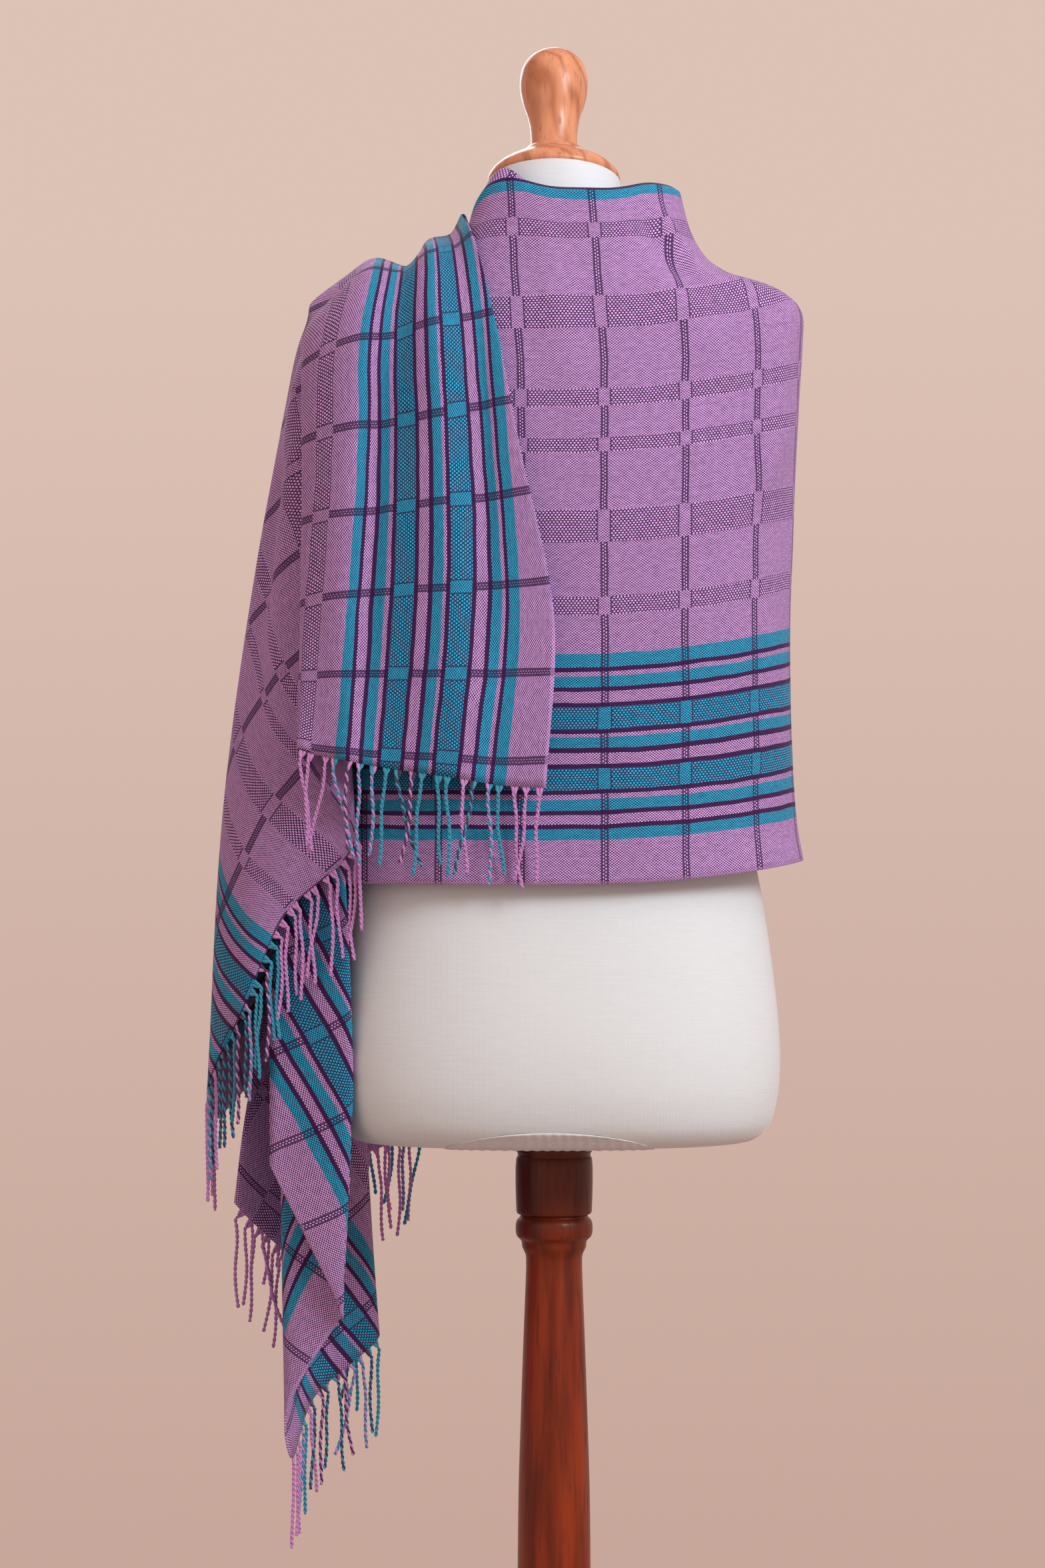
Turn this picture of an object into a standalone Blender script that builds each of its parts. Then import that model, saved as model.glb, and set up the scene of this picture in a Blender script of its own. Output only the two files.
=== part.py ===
"""A handwoven fringed shawl, worn over the shoulders of a limbless dress form on a turned stand.

The frame: +Z up, the origin in the middle of the base's underside, the back of the form towards -Y.
Tables are in millimetres. Each fold of the cloth is a row of places from its top to its hem, and a
sheet is the smooth surface through its folds, given the cloth's thickness on both sides.
"""

import math

import bpy
import numpy as np

MM = 0.001
CLOTH_THICKNESS = 2.0
SEAM_GAP = 0.3
CLOTH_GAP = 0.6  # between two stretches of the cloth, and between cloth and fringe
SQUARENESS = 2.3  # exponent of the rounded cross-sections of form and shawl
SEAM_Y = 12.0  # the plane at the wearer's right side where back and front meet
SHARP_ANGLE = math.radians(40)
CLOTH_ROUGHNESS = 0.85
WOOD_ROUGHNESS = 0.35

# How finely the sheets are made: steps from one fold or station to the next
THROW_ACROSS, THROW_ALONG = 2, 3
TAIL_ACROSS, TAIL_ALONG = 2, 2
FRONT_ALONG = 2
LIP_STEPS = 2
BACK_COLUMNS = 17

# Fringe
STRAND_SPACING = 9.9
STRAND_WIDTH = 3.0
TUFT_WIDTH = 5.6
STRIP_HEIGHT = 4.0
STRAND_LENGTH = 74.0
STRAND_STEPS = (9.0, 36.0, STRAND_LENGTH)

# Stretches of fringe: the sheet, the folds from which and to which it runs, and how far strands sway
FRINGES = (
    ("fringe_throw_back", "throw", "neck edge", "left edge", 1.3),
    ("fringe_throw_fold", "throw", "hidden valley", "side ridge", 0.9),
    ("fringe_throw_side", "throw", "side ridge", "side outline", 0.4),
    ("fringe_throw_front", "throw", "side outline", "front edge", 0.9),
    ("fringe_tail_low", "tail", "behind left fold", "front right fold", 1.2),
    ("fringe_tail_middle", "tail", "behind front fold", "outer left fold", 1.2),
    ("fringe_tail_inner", "tail", "behind outer fold", "inner front fold", 1.2),
    ("fringe_tail_last", "tail", "behind inner fold", "last edge", 1.2),
)

# Colours
LILAC = (0.42, 0.19, 0.48)
TEAL = (0.02, 0.25, 0.42)
JERSEY = (0.80, 0.76, 0.74)
LIGHT_WOOD = (0.50, 0.20, 0.07)
DARK_WOOD = (0.20, 0.05, 0.02)

# Dress form, from the underside up: height, half width, depth to the back, depth to the front
FORM_RINGS = (
    (800, 148, 88, 76),
    (802, 158, 96, 84),
    (812, 170, 108, 93),
    (835, 177, 116, 98),
    (870, 179, 118, 100),
    (930, 174, 112, 101),
    (1017, 160, 98, 98),
    (1080, 142, 86, 92),
    (1130, 130, 80, 92),
    (1190, 134, 82, 104),
    (1250, 146, 88, 122),
    (1290, 154, 92, 128),
    (1340, 168, 95, 118),
    (1390, 181, 97, 100),
    (1425, 188, 93, 78),
    (1445, 190, 83, 61),
    (1455, 188.5, 77, 53),
    (1464, 181.5, 71, 46),
    (1471.5, 167.5, 67, 43),
    (1478, 147.5, 63, 43),
    (1483, 128.5, 62, 45),
    (1489, 104, 62, 49),
    (1499, 82, 61, 52),
    (1511, 66, 60, 53),
    (1530, 57, 57, 53),
)
FORM_SIDES = 24
NECK_RADIUS = 53.0
NECK_TOP = 1556.0
NECK_TILT = math.radians(15)  # the neck's end leans towards the front

# Turned pieces: radius, height along the piece's own axis
CAP_PROFILE = (
    (51.5, 0),
    (52.4, 2.5),
    (51, 7),
    (45, 13),
    (35, 19),
    (27.5, 23),
    (25.5, 25.5),
    (23, 28),
)
KNOB_PROFILE = (
    (18.6, 0),
    (18.3, 4),
    (18.8, 17),
    (20.8, 29),
    (24.4, 40),
    (27.0, 53),
    (26.9, 61),
    (24.6, 71),
    (20.0, 78),
    (12.5, 83.5),
    (5, 86),
)
POLE_PROFILE = (
    (24, 32),
    (24, 180),
    (27, 290),
    (29.8, 380),
    (28.9, 462),
    (28.2, 523),
    (26.9, 568),
    (24.6, 636),
    (22.3, 696),
    (22.2, 703),
    (22.6, 710),
    (25.2, 716),
    (26, 721),
    (29.6, 725),
    (30.5, 731),
    (29.6, 737),
    (26.5, 741),
    (29.4, 743),
    (30, 748),
    (30, 786),
    (28.9, 788),
    (28.9, 790),
    (30, 792),
    (30, 799.7),
)
BASE_PROFILE = (
    (193, 0),
    (196, 4),
    (196, 20),
    (190, 27),
    (170, 30),
    (60, 34),
    (46, 40),
    (40, 47),
    (33, 51),
    (24.3, 52),
    (24.3, 31.7),
)
TURNED_SIDES = 20

# Rows across the back from hem to collar, then the edge turned in at the neck: distance up the cloth,
# the side (x, z) at the wearer's right, the middle of the back (y, z), the half width on the
# wearer's left, how far left the row reaches, and how far its left end drops to go under the throw
BACK_ROWS = (
    (0, 197, 1022, -116, 1005, 190, 179, 0),
    (30, 192, 1051, -114, 1034, 190, 179, 0),
    (90, 188, 1112, -111, 1092, 189, 179, 0),
    (185, 186.5, 1206, -110, 1182, 189, 179, 0),
    (280, 189.5, 1299, -110, 1273, 190, 179, 0),
    (372, 194, 1390, -107, 1360, 193, 172, 0),
    (415, 196.5, 1432, -104, 1400, 194, 148, 0),
    (435, 196.5, 1453, -101, 1419, 192, 138, 0),
    (450, 189, 1464.5, -99, 1434, 184, 128, 0),
    (463, 176, 1472, -97, 1447, 172, 118, 0),
    (477, 158, 1479, -94.5, 1460, 155, 107, 2),
    (492, 139, 1485, -91, 1474, 135, 97, 5),
    (507, 123, 1495, -87, 1488, 116, 88, 12),
    (525, 111, 1512, -82, 1507, 98, 79, 21),
    (545, 104, 1531, -77, 1527, 86, 71, 28),
    (560, 101, 1544, -73.5, 1542, 82, 68, 31),
    (567, 99.5, 1549.5, -71.5, 1549, 80, 66.5, 31),
    (572, 96.5, 1551.5, -69.2, 1551.6, 77, 64, 29),
    (577, 93.5, 1549, -67, 1549, 74, 62, 27),
    (595, 90, 1532, -65.2, 1533, 71, 60, 18),
    (622, 86, 1507, -69.4, 1510, 74, 62, 0),
)
DROP_POWER = 6

# Rows across the front, each from the side seam to the crest of the left shoulder or the front edge
# of the thrown end: distance up the cloth, then x, y, z at the right front, the middle, the left
# front, before the crest and just before it
LIP_EDGE = ((-66, -9, 1517),)
FRONT_ROWS = (
    (622, (80, 52, 1492), (10, 86, 1462), (-44, 62, 1474), (-60, 29, 1515.5),
     (-66, 10, 1516)),
    (577, (88, 55, 1531), (10, 92, 1480), (-47, 68, 1490), (-63, 32, 1521),
     (-70, 12, 1527)),
    (567, (91, 59, 1530), (10, 98, 1479), (-50, 72, 1486), (-69, 35, 1514),
     (-78, 16, 1516)),
    (556, (93, 61, 1519), (8, 101, 1472), (-54, 80, 1480), (-82, 40, 1507),
     (-93, 20, 1511)),
    (540, (96, 63, 1505), (6, 104, 1462), (-58, 85, 1468), (-97, 45, 1488),
     (-109, 24, 1491)),
    (518, (101, 67, 1490), (5, 107, 1452), (-62, 92, 1462), (-114, 51, 1489),
     (-131, 27, 1496)),
    (500, (109, 71, 1477), (5, 110, 1443), (-66, 99, 1450), (-132, 56, 1473),
     (-157, 30, 1481)),
    (485, (118, 76, 1466), (6, 113, 1432), (-70, 106, 1436), (-147, 62, 1457),
     (-181, 31, 1462)),
    (479, (122, 77, 1461), (6, 114, 1427), (-71, 108, 1431), (-149, 64, 1451),
     (-185, 34, 1456)),
    (474, (126, 78, 1457), (7, 115, 1423), (-71, 110, 1427), (-150, 66, 1447),
     (-185, 37, 1450)),
    (468, (130, 80, 1452), (8, 117, 1417), (-72, 112, 1420), (-151, 69, 1441),
     (-186, 42, 1446)),
    (461, (135, 82, 1446), (8, 119, 1411), (-73, 115, 1413), (-152, 73, 1433),
     (-187, 47, 1440)),
    (454, (139, 84, 1440), (9, 121, 1404), (-74, 118, 1404), (-153, 78, 1421),
     (-188, 53, 1431)),
    (446, (142, 86, 1434), (10, 123, 1397), (-75, 120, 1393), (-154, 83, 1404),
     (-184, 66, 1413)),
    (420, (146, 89, 1410), (12, 127, 1372), (-78, 126, 1361), (-156, 91, 1366),
     (-188, 74, 1375)),
    (372, (148, 92, 1362), (16, 133, 1324), (-80, 135, 1308), (-158, 98, 1299),
     (-194, 80, 1307)),
    (285, (146, 95, 1283), (24, 138, 1246), (-84, 146, 1217), (-172, 108, 1186),
     (-210, 85, 1191)),
    (155, (146, 93, 1160), (32, 138, 1130), (-88, 156, 1085), (-188, 122, 1029),
     (-228, 92, 1020)),
    (0, (152, 90, 1013), (42, 140, 995), (-84, 168, 948), (-196, 132, 884),
     (-240, 92, 845)),
)

# Folds of the thrown end from the neck edge round to the front edge: x, y, z at the crest of the
# shoulder, its top, the shoulder blade, the middle of the back, the waist and the hem
THROW_FOLDS = (
    ("neck edge", (-73, -8, 1531), (-64, -69, 1509), (-48, -106, 1447),
     (-27, -123, 1340), (-1, -126, 1210), (-7, -128, 1079)),
    ("first valley", (-82, -5, 1516), (-78, -66, 1497), (-70, -103, 1445),
     (-58, -117, 1340), (-42, -121, 1210), (-42, -123, 1081)),
    ("first ridge", (-99, -2, 1512), (-98, -66, 1494), (-94, -108, 1442),
     (-86, -123, 1340), (-76, -128, 1210), (-72, -129, 1086)),
    ("second valley", (-116, -1, 1491), (-120, -60, 1479), (-126, -93, 1430),
     (-132, -105, 1335), (-138, -113, 1205), (-140, -115, 1096)),
    ("second ridge", (-141, -4, 1497), (-144, -60, 1480), (-149, -98, 1428),
     (-154, -112, 1330), (-158, -117, 1202), (-160, -118, 1100)),
    ("outer slope", (-166, -8, 1481), (-171, -56, 1460), (-176, -84, 1415),
     (-178, -99, 1325), (-180, -105, 1203), (-182, -108, 1104)),
    ("left edge", (-191, -12, 1461), (-194, -42, 1440), (-196, -63, 1402),
     (-195, -79, 1320), (-196, -89, 1205), (-198, -102, 1107)),
    ("under the edge", (-193, -6, 1456), (-194, -32, 1437), (-192, -53, 1398),
     (-190, -71, 1318), (-188, -80, 1205), (-187, -96, 1092)),
    ("hidden valley", (-194, 1, 1453), (-195, -22, 1434), (-188, -46, 1392),
     (-173, -70, 1308), (-163, -79, 1200), (-154, -90, 1042)),
    ("side ridge", (-195, 8, 1450), (-199, -13, 1430), (-205, -34, 1388),
     (-213, -44, 1290), (-218, -53, 1145), (-210, -69, 979)),
    ("side middle", (-196, 16, 1446), (-203, 0, 1424), (-211, -12, 1370),
     (-223, -22, 1265), (-241, -36, 1110), (-242, -57, 907)),
    ("side outline", (-197, 24, 1439), (-206, 14, 1412), (-218, 8, 1350),
     (-239, 0, 1231), (-262, -6, 1050), (-272, -12, 845)),
    ("front edge", (-196, 45, 1420), (-205, 49, 1382), (-216, 52, 1312),
     (-234, 52, 1192), (-252, 48, 1012), (-268, 32, 815)),
)

# Folds of the under end, from the edge beside the back panel to its last edge at the front: x, y, z
# at its top, the ribs, the waist, the hip, the form's underside and the cloth's own edge
TAIL_FOLDS = (
    ("outer edge", (-190, -35, 1290), (-205, -27, 1165), (-215, -42, 1050),
     (-221, -49, 930), (-222, -50, 840), (-222, -50, 785)),
    ("right fold", (-180, -43.5, 1290), (-187, -53, 1160), (-167, -70, 1050),
     (-159, -75, 930), (-157, -70, 800), (-165, -62, 669)),
    ("behind right fold", (-180.2, -38, 1290), (-187, -44, 1160), (-173, -60, 1050),
     (-167, -63, 930), (-165, -58, 800), (-169, -52, 663)),
    ("left fold", (-185, -23, 1290), (-195, -24, 1160), (-199, -32, 1050),
     (-204, -36, 930), (-211, -36, 800), (-210, -33, 589)),
    ("behind left fold", (-187, -12, 1290), (-198, -8, 1160), (-203, -14, 1050),
     (-208, -18, 930), (-213, -18, 800), (-207, -14, 551)),
    ("side bulge", (-187, 2, 1290), (-197, 12, 1160), (-201, 20, 1050),
     (-204, 24, 930), (-202, 28, 800), (-192, 32, 592)),
    ("front right fold", (-185, 17, 1290), (-188, 32, 1160), (-180, 53, 1050),
     (-171, 63, 930), (-158, 71, 800), (-142, 76, 634)),
    ("behind front fold", (-182, 29, 1290), (-183, 44, 1160), (-174, 64, 1050),
     (-163, 77, 930), (-154, 84, 800), (-149, 87, 642)),
    ("outer left fold", (-178, 42, 1290), (-190, 50, 1160), (-206, 48, 1050),
     (-224, 42, 930), (-244, 38, 820), (-252, 38, 743)),
    ("behind outer fold", (-173, 53, 1290), (-185, 62, 1160), (-203, 62, 1050),
     (-219, 56, 930), (-238, 52, 820), (-249, 50, 749)),
    ("inner front fold", (-160, 70, 1290), (-156, 84, 1160), (-140, 101, 1050),
     (-124, 110, 930), (-114, 116, 850), (-108, 120, 799)),
    ("behind inner fold", (-152, 78, 1290), (-152, 95, 1160), (-141, 112, 1050),
     (-129, 121, 930), (-120, 127, 850), (-114, 131, 803)),
    ("last edge", (-143, 86, 1290), (-160, 106, 1160), (-178, 112, 1050),
     (-188, 112, 930), (-190, 112, 870), (-190, 113, 826)),
)


def smooth(points, steps):
    """Points on a smooth curve through each of these, with so many steps from one to the next."""
    points = np.asarray(points, float)
    if isinstance(steps, int):
        steps = [steps] * (len(points) - 1)
    spans = np.sqrt(np.linalg.norm(np.diff(points[..., :3], axis=0), axis=-1))
    spans = spans.reshape(len(spans), -1).mean(axis=1)
    spans = spans.reshape((-1,) + (1,) * (points.ndim - 1))
    slopes = np.diff(points, axis=0) / spans
    inner = (slopes[:-1] * spans[1:] + slopes[1:] * spans[:-1]) / (spans[:-1] + spans[1:])
    tangents = np.concatenate([slopes[:1], inner, slopes[-1:]])
    result = []
    for k, count in enumerate(steps):
        for step in range(count):
            t = step / count
            result.append(
                (2 * t**3 - 3 * t**2 + 1) * points[k]
                + (t**3 - 2 * t**2 + t) * spans[k] * tangents[k]
                + (3 * t**2 - 2 * t**3) * points[k + 1]
                + (t**3 - t**2) * spans[k] * tangents[k + 1]
            )
    result.append(points[-1])
    return np.array(result)


def turned_over(grid):
    return np.swapaxes(grid, 0, 1)


def unit(vectors):
    return vectors / np.linalg.norm(vectors, axis=-1, keepdims=True)


def tangents(grid):
    """Directions along a grid's first axis, each halfway between the steps before and after it."""
    steps = unit(np.diff(grid, axis=0))
    return unit(np.concatenate([steps[:1], steps[:-1] + steps[1:], steps[-1:]]))


def normals_of(grid):
    return unit(np.cross(tangents(grid), turned_over(tangents(turned_over(grid)))))


def across(edge, normals, inner):
    """Directions in a sheet square to its edge, each towards the place just inside it."""
    square = unit(np.cross(normals, tangents(edge)))
    return square * np.sign(np.sum(square * (inner - edge), axis=-1, keepdims=True))


def ring_faces(rings, sides):
    """Faces between rings of points, with a flat face at each end."""
    faces = [tuple(range(sides - 1, -1, -1)), tuple((rings - 1) * sides + k for k in range(sides))]
    for i in range(rings - 1):
        for k in range(sides):
            here, after = i * sides + k, i * sides + (k + 1) % sides
            faces.append((here, after, after + sides, here + sides))
    return faces


def add_mesh(name, points, faces, colour, roughness):
    """A named object with its own material and its faces turned outwards."""
    points = np.asarray(points, float) * MM
    volume = 0.0
    for face in faces:
        for k in range(1, len(face) - 1):
            volume += np.dot(points[face[0]], np.cross(points[face[k]], points[face[k + 1]]))
    if volume < 0:
        faces = [tuple(reversed(face)) for face in faces]
    mesh = bpy.data.meshes.new(name)
    mesh.from_pydata([tuple(point) for point in points], [], faces)
    mesh.shade_smooth()
    mesh.set_sharp_from_angle(angle=SHARP_ANGLE)
    material = bpy.data.materials.new(name)
    material.use_nodes = True
    shader = material.node_tree.nodes["Principled BSDF"]
    shader.inputs["Base Color"].default_value = (*colour, 1)
    shader.inputs["Roughness"].default_value = roughness
    shader.inputs["Metallic"].default_value = 0
    mesh.materials.append(material)
    bpy.context.scene.collection.objects.link(bpy.data.objects.new(name, mesh))


def add_turned(name, profile, colour, tilt=0.0, height=0.0):
    """A turned piece: its profile swept round its axis, which leans to the front by the tilt."""
    points = []
    for radius, rise in profile:
        for k in range(TURNED_SIDES):
            angle = k * 2 * math.pi / TURNED_SIDES
            x, y = radius * math.cos(angle), radius * math.sin(angle)
            forward = y * math.cos(tilt) + rise * math.sin(tilt)
            points.append((x, forward, height - y * math.sin(tilt) + rise * math.cos(tilt)))
    add_mesh(name, points, ring_faces(len(profile), TURNED_SIDES), colour, WOOD_ROUGHNESS)


def rounded(angle, half_width, depth):
    """A place on a rounded cross-section, from the wearer's right through the back."""
    power = 2 / SQUARENESS
    c, s = math.cos(angle), math.sin(angle)
    return half_width * math.copysign(abs(c) ** power, c), -depth * math.copysign(abs(s) ** power, s)


def add_form():
    points = []
    angles = [k * 2 * math.pi / FORM_SIDES for k in range(FORM_SIDES)]
    for height, half_width, back, front in FORM_RINGS:
        for angle in angles:
            points.append((*rounded(angle, half_width, back if angle < math.pi else front), height))
    for angle in angles:
        x, y = NECK_RADIUS * math.cos(angle), -NECK_RADIUS * math.sin(angle)
        points.append((x, y * math.cos(NECK_TILT), NECK_TOP - y * math.sin(NECK_TILT)))
    add_mesh("form_torso", points, ring_faces(len(FORM_RINGS) + 1, FORM_SIDES), JERSEY, CLOTH_ROUGHNESS)


def add_stand():
    seat = NECK_TOP + SEAM_GAP
    add_turned("neck_cap", CAP_PROFILE, LIGHT_WOOD, NECK_TILT, seat)
    knob_seat = CAP_PROFILE[-1][1] + SEAM_GAP
    knob = [(radius, rise + knob_seat) for radius, rise in KNOB_PROFILE]
    add_turned("knob", knob, LIGHT_WOOD, NECK_TILT, seat)
    add_turned("pole", POLE_PROFILE, DARK_WOOD)
    add_turned("base", BASE_PROFILE, DARK_WOOD)


def back_grid():
    """The sheet across the back. Rows go from hem to collar, columns from the side seam leftwards,
    and each place is x, y, z and the distance up the cloth."""
    grid = []
    power = 2 / SQUARENESS
    quarter = math.pi / 2
    for up, right, right_z, back_y, middle_z, left, reach, drop in BACK_ROWS:
        end = math.pi - math.acos((reach / left) ** (1 / power))
        row = []
        for angle in np.linspace(0, end, BACK_COLUMNS):
            c = math.cos(angle)
            x = (right if c > 0 else left) * math.copysign(abs(c) ** power, c)
            y = SEAM_Y + (back_y - SEAM_Y) * math.sin(angle) ** power
            t = min(angle / quarter, 1)
            z = right_z + (middle_z - right_z) * t * t * (3 - 2 * t)
            z -= drop * (max(angle - quarter, 0) / (end - quarter)) ** DROP_POWER
            row.append((x, y, z, up))
        grid.append(row)
    return np.array(grid)


def throw_grid():
    """The thrown end. Rows go from the neck edge to the front edge, columns from crest to hem."""
    rows = np.array([fold[1:] for fold in THROW_FOLDS], float)
    rows = turned_over(smooth(turned_over(rows), THROW_ALONG))
    return smooth(rows, THROW_ACROSS)


def tail_grid():
    """The under end. Rows go from the edge at the back panel to the last edge."""
    rows = np.array([fold[1:] for fold in TAIL_FOLDS], float)
    rows = turned_over(smooth(turned_over(rows), TAIL_ALONG))
    return smooth(rows, TAIL_ACROSS)


def front_grid(back, throw):
    """The sheet across the front. Rows go from the turned-in edge at the neck to the hem, columns
    from the side seam to the crest and front edge of the thrown end, whose places it takes over."""
    ups = [row[0] for row in BACK_ROWS]
    edge = np.concatenate([throw[:, 0], throw[-1, 1:]])
    steps = [LIP_STEPS] * len(LIP_EDGE)
    steps += [THROW_ACROSS] * (len(THROW_FOLDS) - 1) + [THROW_ALONG] * (len(THROW_FOLDS[0]) - 2)
    ends = list(LIP_EDGE) + list(throw[::THROW_ACROSS, 0]) + list(throw[-1, THROW_ALONG::THROW_ALONG])
    rows = []
    for row, end in zip(FRONT_ROWS, ends):
        side = [np.interp(row[0], ups, back[:, 0, axis]) for axis in range(3)]
        rows.append([(*place, row[0]) for place in (side, *row[1:], end)])
    grid = smooth(turned_over(smooth(turned_over(np.array(rows)), FRONT_ALONG)), steps)
    for axis in range(3):
        grid[:, 0, axis] = np.interp(grid[:, 0, 3], ups, back[:, 0, axis])
    grid[LIP_STEPS * len(LIP_EDGE):, -1, :3] = edge
    return grid[..., :3]


def add_wall(name, grid, normals):
    """A sheet as a wall of the cloth's thickness, closed along its four edges."""
    rows, columns = grid.shape[:2]
    offset = normals * CLOTH_THICKNESS / 2
    points = np.concatenate([(grid + offset).reshape(-1, 3), (grid - offset).reshape(-1, 3)])

    def at(i, j, side):
        return side * rows * columns + i * columns + j

    faces = []
    for i in range(rows - 1):
        for j in range(columns - 1):
            faces.append((at(i, j, 0), at(i + 1, j, 0), at(i + 1, j + 1, 0), at(i, j + 1, 0)))
            faces.append((at(i, j, 1), at(i, j + 1, 1), at(i + 1, j + 1, 1), at(i + 1, j, 1)))
    rim = [(0, j) for j in range(columns - 1)]
    rim += [(i, columns - 1) for i in range(rows - 1)]
    rim += [(rows - 1, j) for j in range(columns - 1, 0, -1)]
    rim += [(i, 0) for i in range(rows - 1, 0, -1)]
    for here, there in zip(rim, rim[1:] + rim[:1]):
        faces.append((at(*here, 0), at(*there, 0), at(*there, 1), at(*here, 1)))
    add_mesh(name, points, faces, LILAC, CLOTH_ROUGHNESS)


def add_fringe(name, hem, outward, normals, sway):
    """Strands along a hem, their roots fused into a narrow strip parted from the cloth's edge."""
    distance = np.concatenate([[0], np.cumsum(np.linalg.norm(np.diff(hem, axis=0), axis=1))])
    count = round(distance[-1] / STRAND_SPACING)
    centres = (np.arange(count) + 0.5) * distance[-1] / count
    places, tufts = [], []
    for start, end in zip(distance, distance[1:]):
        here = np.count_nonzero((centres >= start) & (centres < end))
        places.append(start)
        for k in range(here):
            pitch = (end - start) / here
            middle = start + (k + 0.5) * pitch
            half_tuft = min(TUFT_WIDTH / 2, 0.4 * pitch)
            tufts.append(len(places))
            places += [middle - half_tuft, middle + half_tuft]
    places[0] = SEAM_GAP
    places.append(distance[-1] - SEAM_GAP)

    def at_places(values):
        return np.stack([np.interp(places, distance, values[:, axis]) for axis in range(3)], axis=-1)

    line, fall, side = at_places(hem), unit(at_places(outward)), unit(at_places(normals))
    half = side * CLOTH_THICKNESS / 2
    top = line + fall * CLOTH_GAP
    bottom = top + fall * STRIP_HEIGHT
    points = list(np.concatenate([top + half, top - half, bottom + half, bottom - half]))
    step = len(places)
    faces = []
    for k in range(step - 1):
        front_top, back_top, front_low, back_low = k, k + step, k + 2 * step, k + 3 * step
        faces.append((front_top, front_top + 1, back_top + 1, back_top))
        faces.append((front_low, front_low + 1, front_top + 1, front_top))
        faces.append((back_top, back_top + 1, back_low + 1, back_low))
        if k not in tufts:
            faces.append((front_low, back_low, back_low + 1, front_low + 1))
            continue
        root = [front_low, front_low + 1, back_low + 1, back_low]
        centre = np.mean([points[corner] for corner in root], axis=0)
        along = line[k + 1] - line[k]
        along = unit(np.array([along[0], along[1], 0.0]))
        out = np.array([-along[1], along[0], 0.0])
        if np.dot(out, side[k]) < 0:
            out = -out
        strand = tufts.index(k)
        lean = along * math.sin(1.9 * strand) + out * math.cos(2.3 * strand)
        tuft = centre + fall[k] * STRAND_STEPS[0]
        for length in STRAND_STEPS:
            share = (length - STRAND_STEPS[0]) / (STRAND_LENGTH - STRAND_STEPS[0])
            middle = tuft + lean * sway * share - np.array([0, 0, length - STRAND_STEPS[0]])
            ring = len(points)
            for a, b in ((-1, 1), (1, 1), (1, -1), (-1, -1)):
                points.append(middle + (along * a + out * b) * STRAND_WIDTH / 2)
            for a in range(4):
                b = (a + 1) % 4
                faces.append((root[b], root[a], ring + a, ring + b))
            root = [ring, ring + 1, ring + 2, ring + 3]
        faces.append(tuple(reversed(root)))
    last = step - 1
    faces.append((0, step, 3 * step, 2 * step))
    faces.append((last, last + 2 * step, last + 3 * step, last + step))
    add_mesh(name, points, faces, TEAL, CLOTH_ROUGHNESS)


def add_shawl():
    back = back_grid()
    throw = throw_grid()
    front = front_grid(back, throw)
    back = back[..., :3]
    tail = tail_grid()
    back_normals, front_normals, throw_normals = normals_of(back), -normals_of(front), -normals_of(throw)
    lip = LIP_STEPS * len(LIP_EDGE)
    crest_rows = len(throw)

    # Both sides of a seam share its normals, so the two walls meet edge to edge.
    crest = unit(throw_normals[:, 0] + front_normals[lip:lip + crest_rows, -1])
    edge = unit(throw_normals[-1, 1:] + front_normals[lip + crest_rows:, -1])
    throw_normals[:, 0] = front_normals[lip:lip + crest_rows, -1] = crest
    throw_normals[-1, 1:] = front_normals[lip + crest_rows:, -1] = edge
    for normals in (back_normals, front_normals):
        normals[:, 0, 1] = 0
        normals[:, 0] = unit(normals[:, 0])

    back[:, 0, 1] -= CLOTH_GAP / 2
    front[:, 0, 1] += CLOTH_GAP / 2
    seam = np.concatenate([throw[:, 0], throw[-1, 1:]])
    seam_normals = np.concatenate([crest, edge])
    seam_inner = np.concatenate([throw[:, 1], throw[-2, 1:]])
    part = across(seam, seam_normals, seam_inner) * CLOTH_GAP / 2
    front[lip:, -1] -= part
    throw[:, 0] += part[:crest_rows]
    throw[-1, 1:] += part[crest_rows:]
    add_wall("back_panel", back, back_normals)
    add_wall("front_wrap", front, front_normals)
    add_wall("throw", throw, throw_normals)
    tail_normals = normals_of(tail)
    add_wall("tail", tail, tail_normals)

    for name, sheet, first, last, sway in FRINGES:
        grid, normals, folds, steps = throw, throw_normals, THROW_FOLDS, THROW_ACROSS
        if sheet == "tail":
            grid, normals, folds, steps = tail, tail_normals, TAIL_FOLDS, TAIL_ACROSS
        names = [fold[0] for fold in folds]
        part = slice(names.index(first) * steps, names.index(last) * steps + 1)
        outward = -across(grid[:, -1], normals[:, -1], grid[:, -2])
        add_fringe(name, grid[part, -1], outward[part], normals[part, -1], sway)


def main():
    for obj in list(bpy.data.objects):
        bpy.data.objects.remove(obj)
    add_form()
    add_stand()
    add_shawl()


main()
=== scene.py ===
"""The shawl on its dress form, dressed with cloth, fringe, jersey and wood.

The sheets are smooth surfaces through the same places as the solids, in millimetres, made finer and
given soft creases. Each place of a sheet also has its distance up the cloth from one long edge and
its distance along the cloth, so that stripes and weave run as they were woven.
"""

import math

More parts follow.
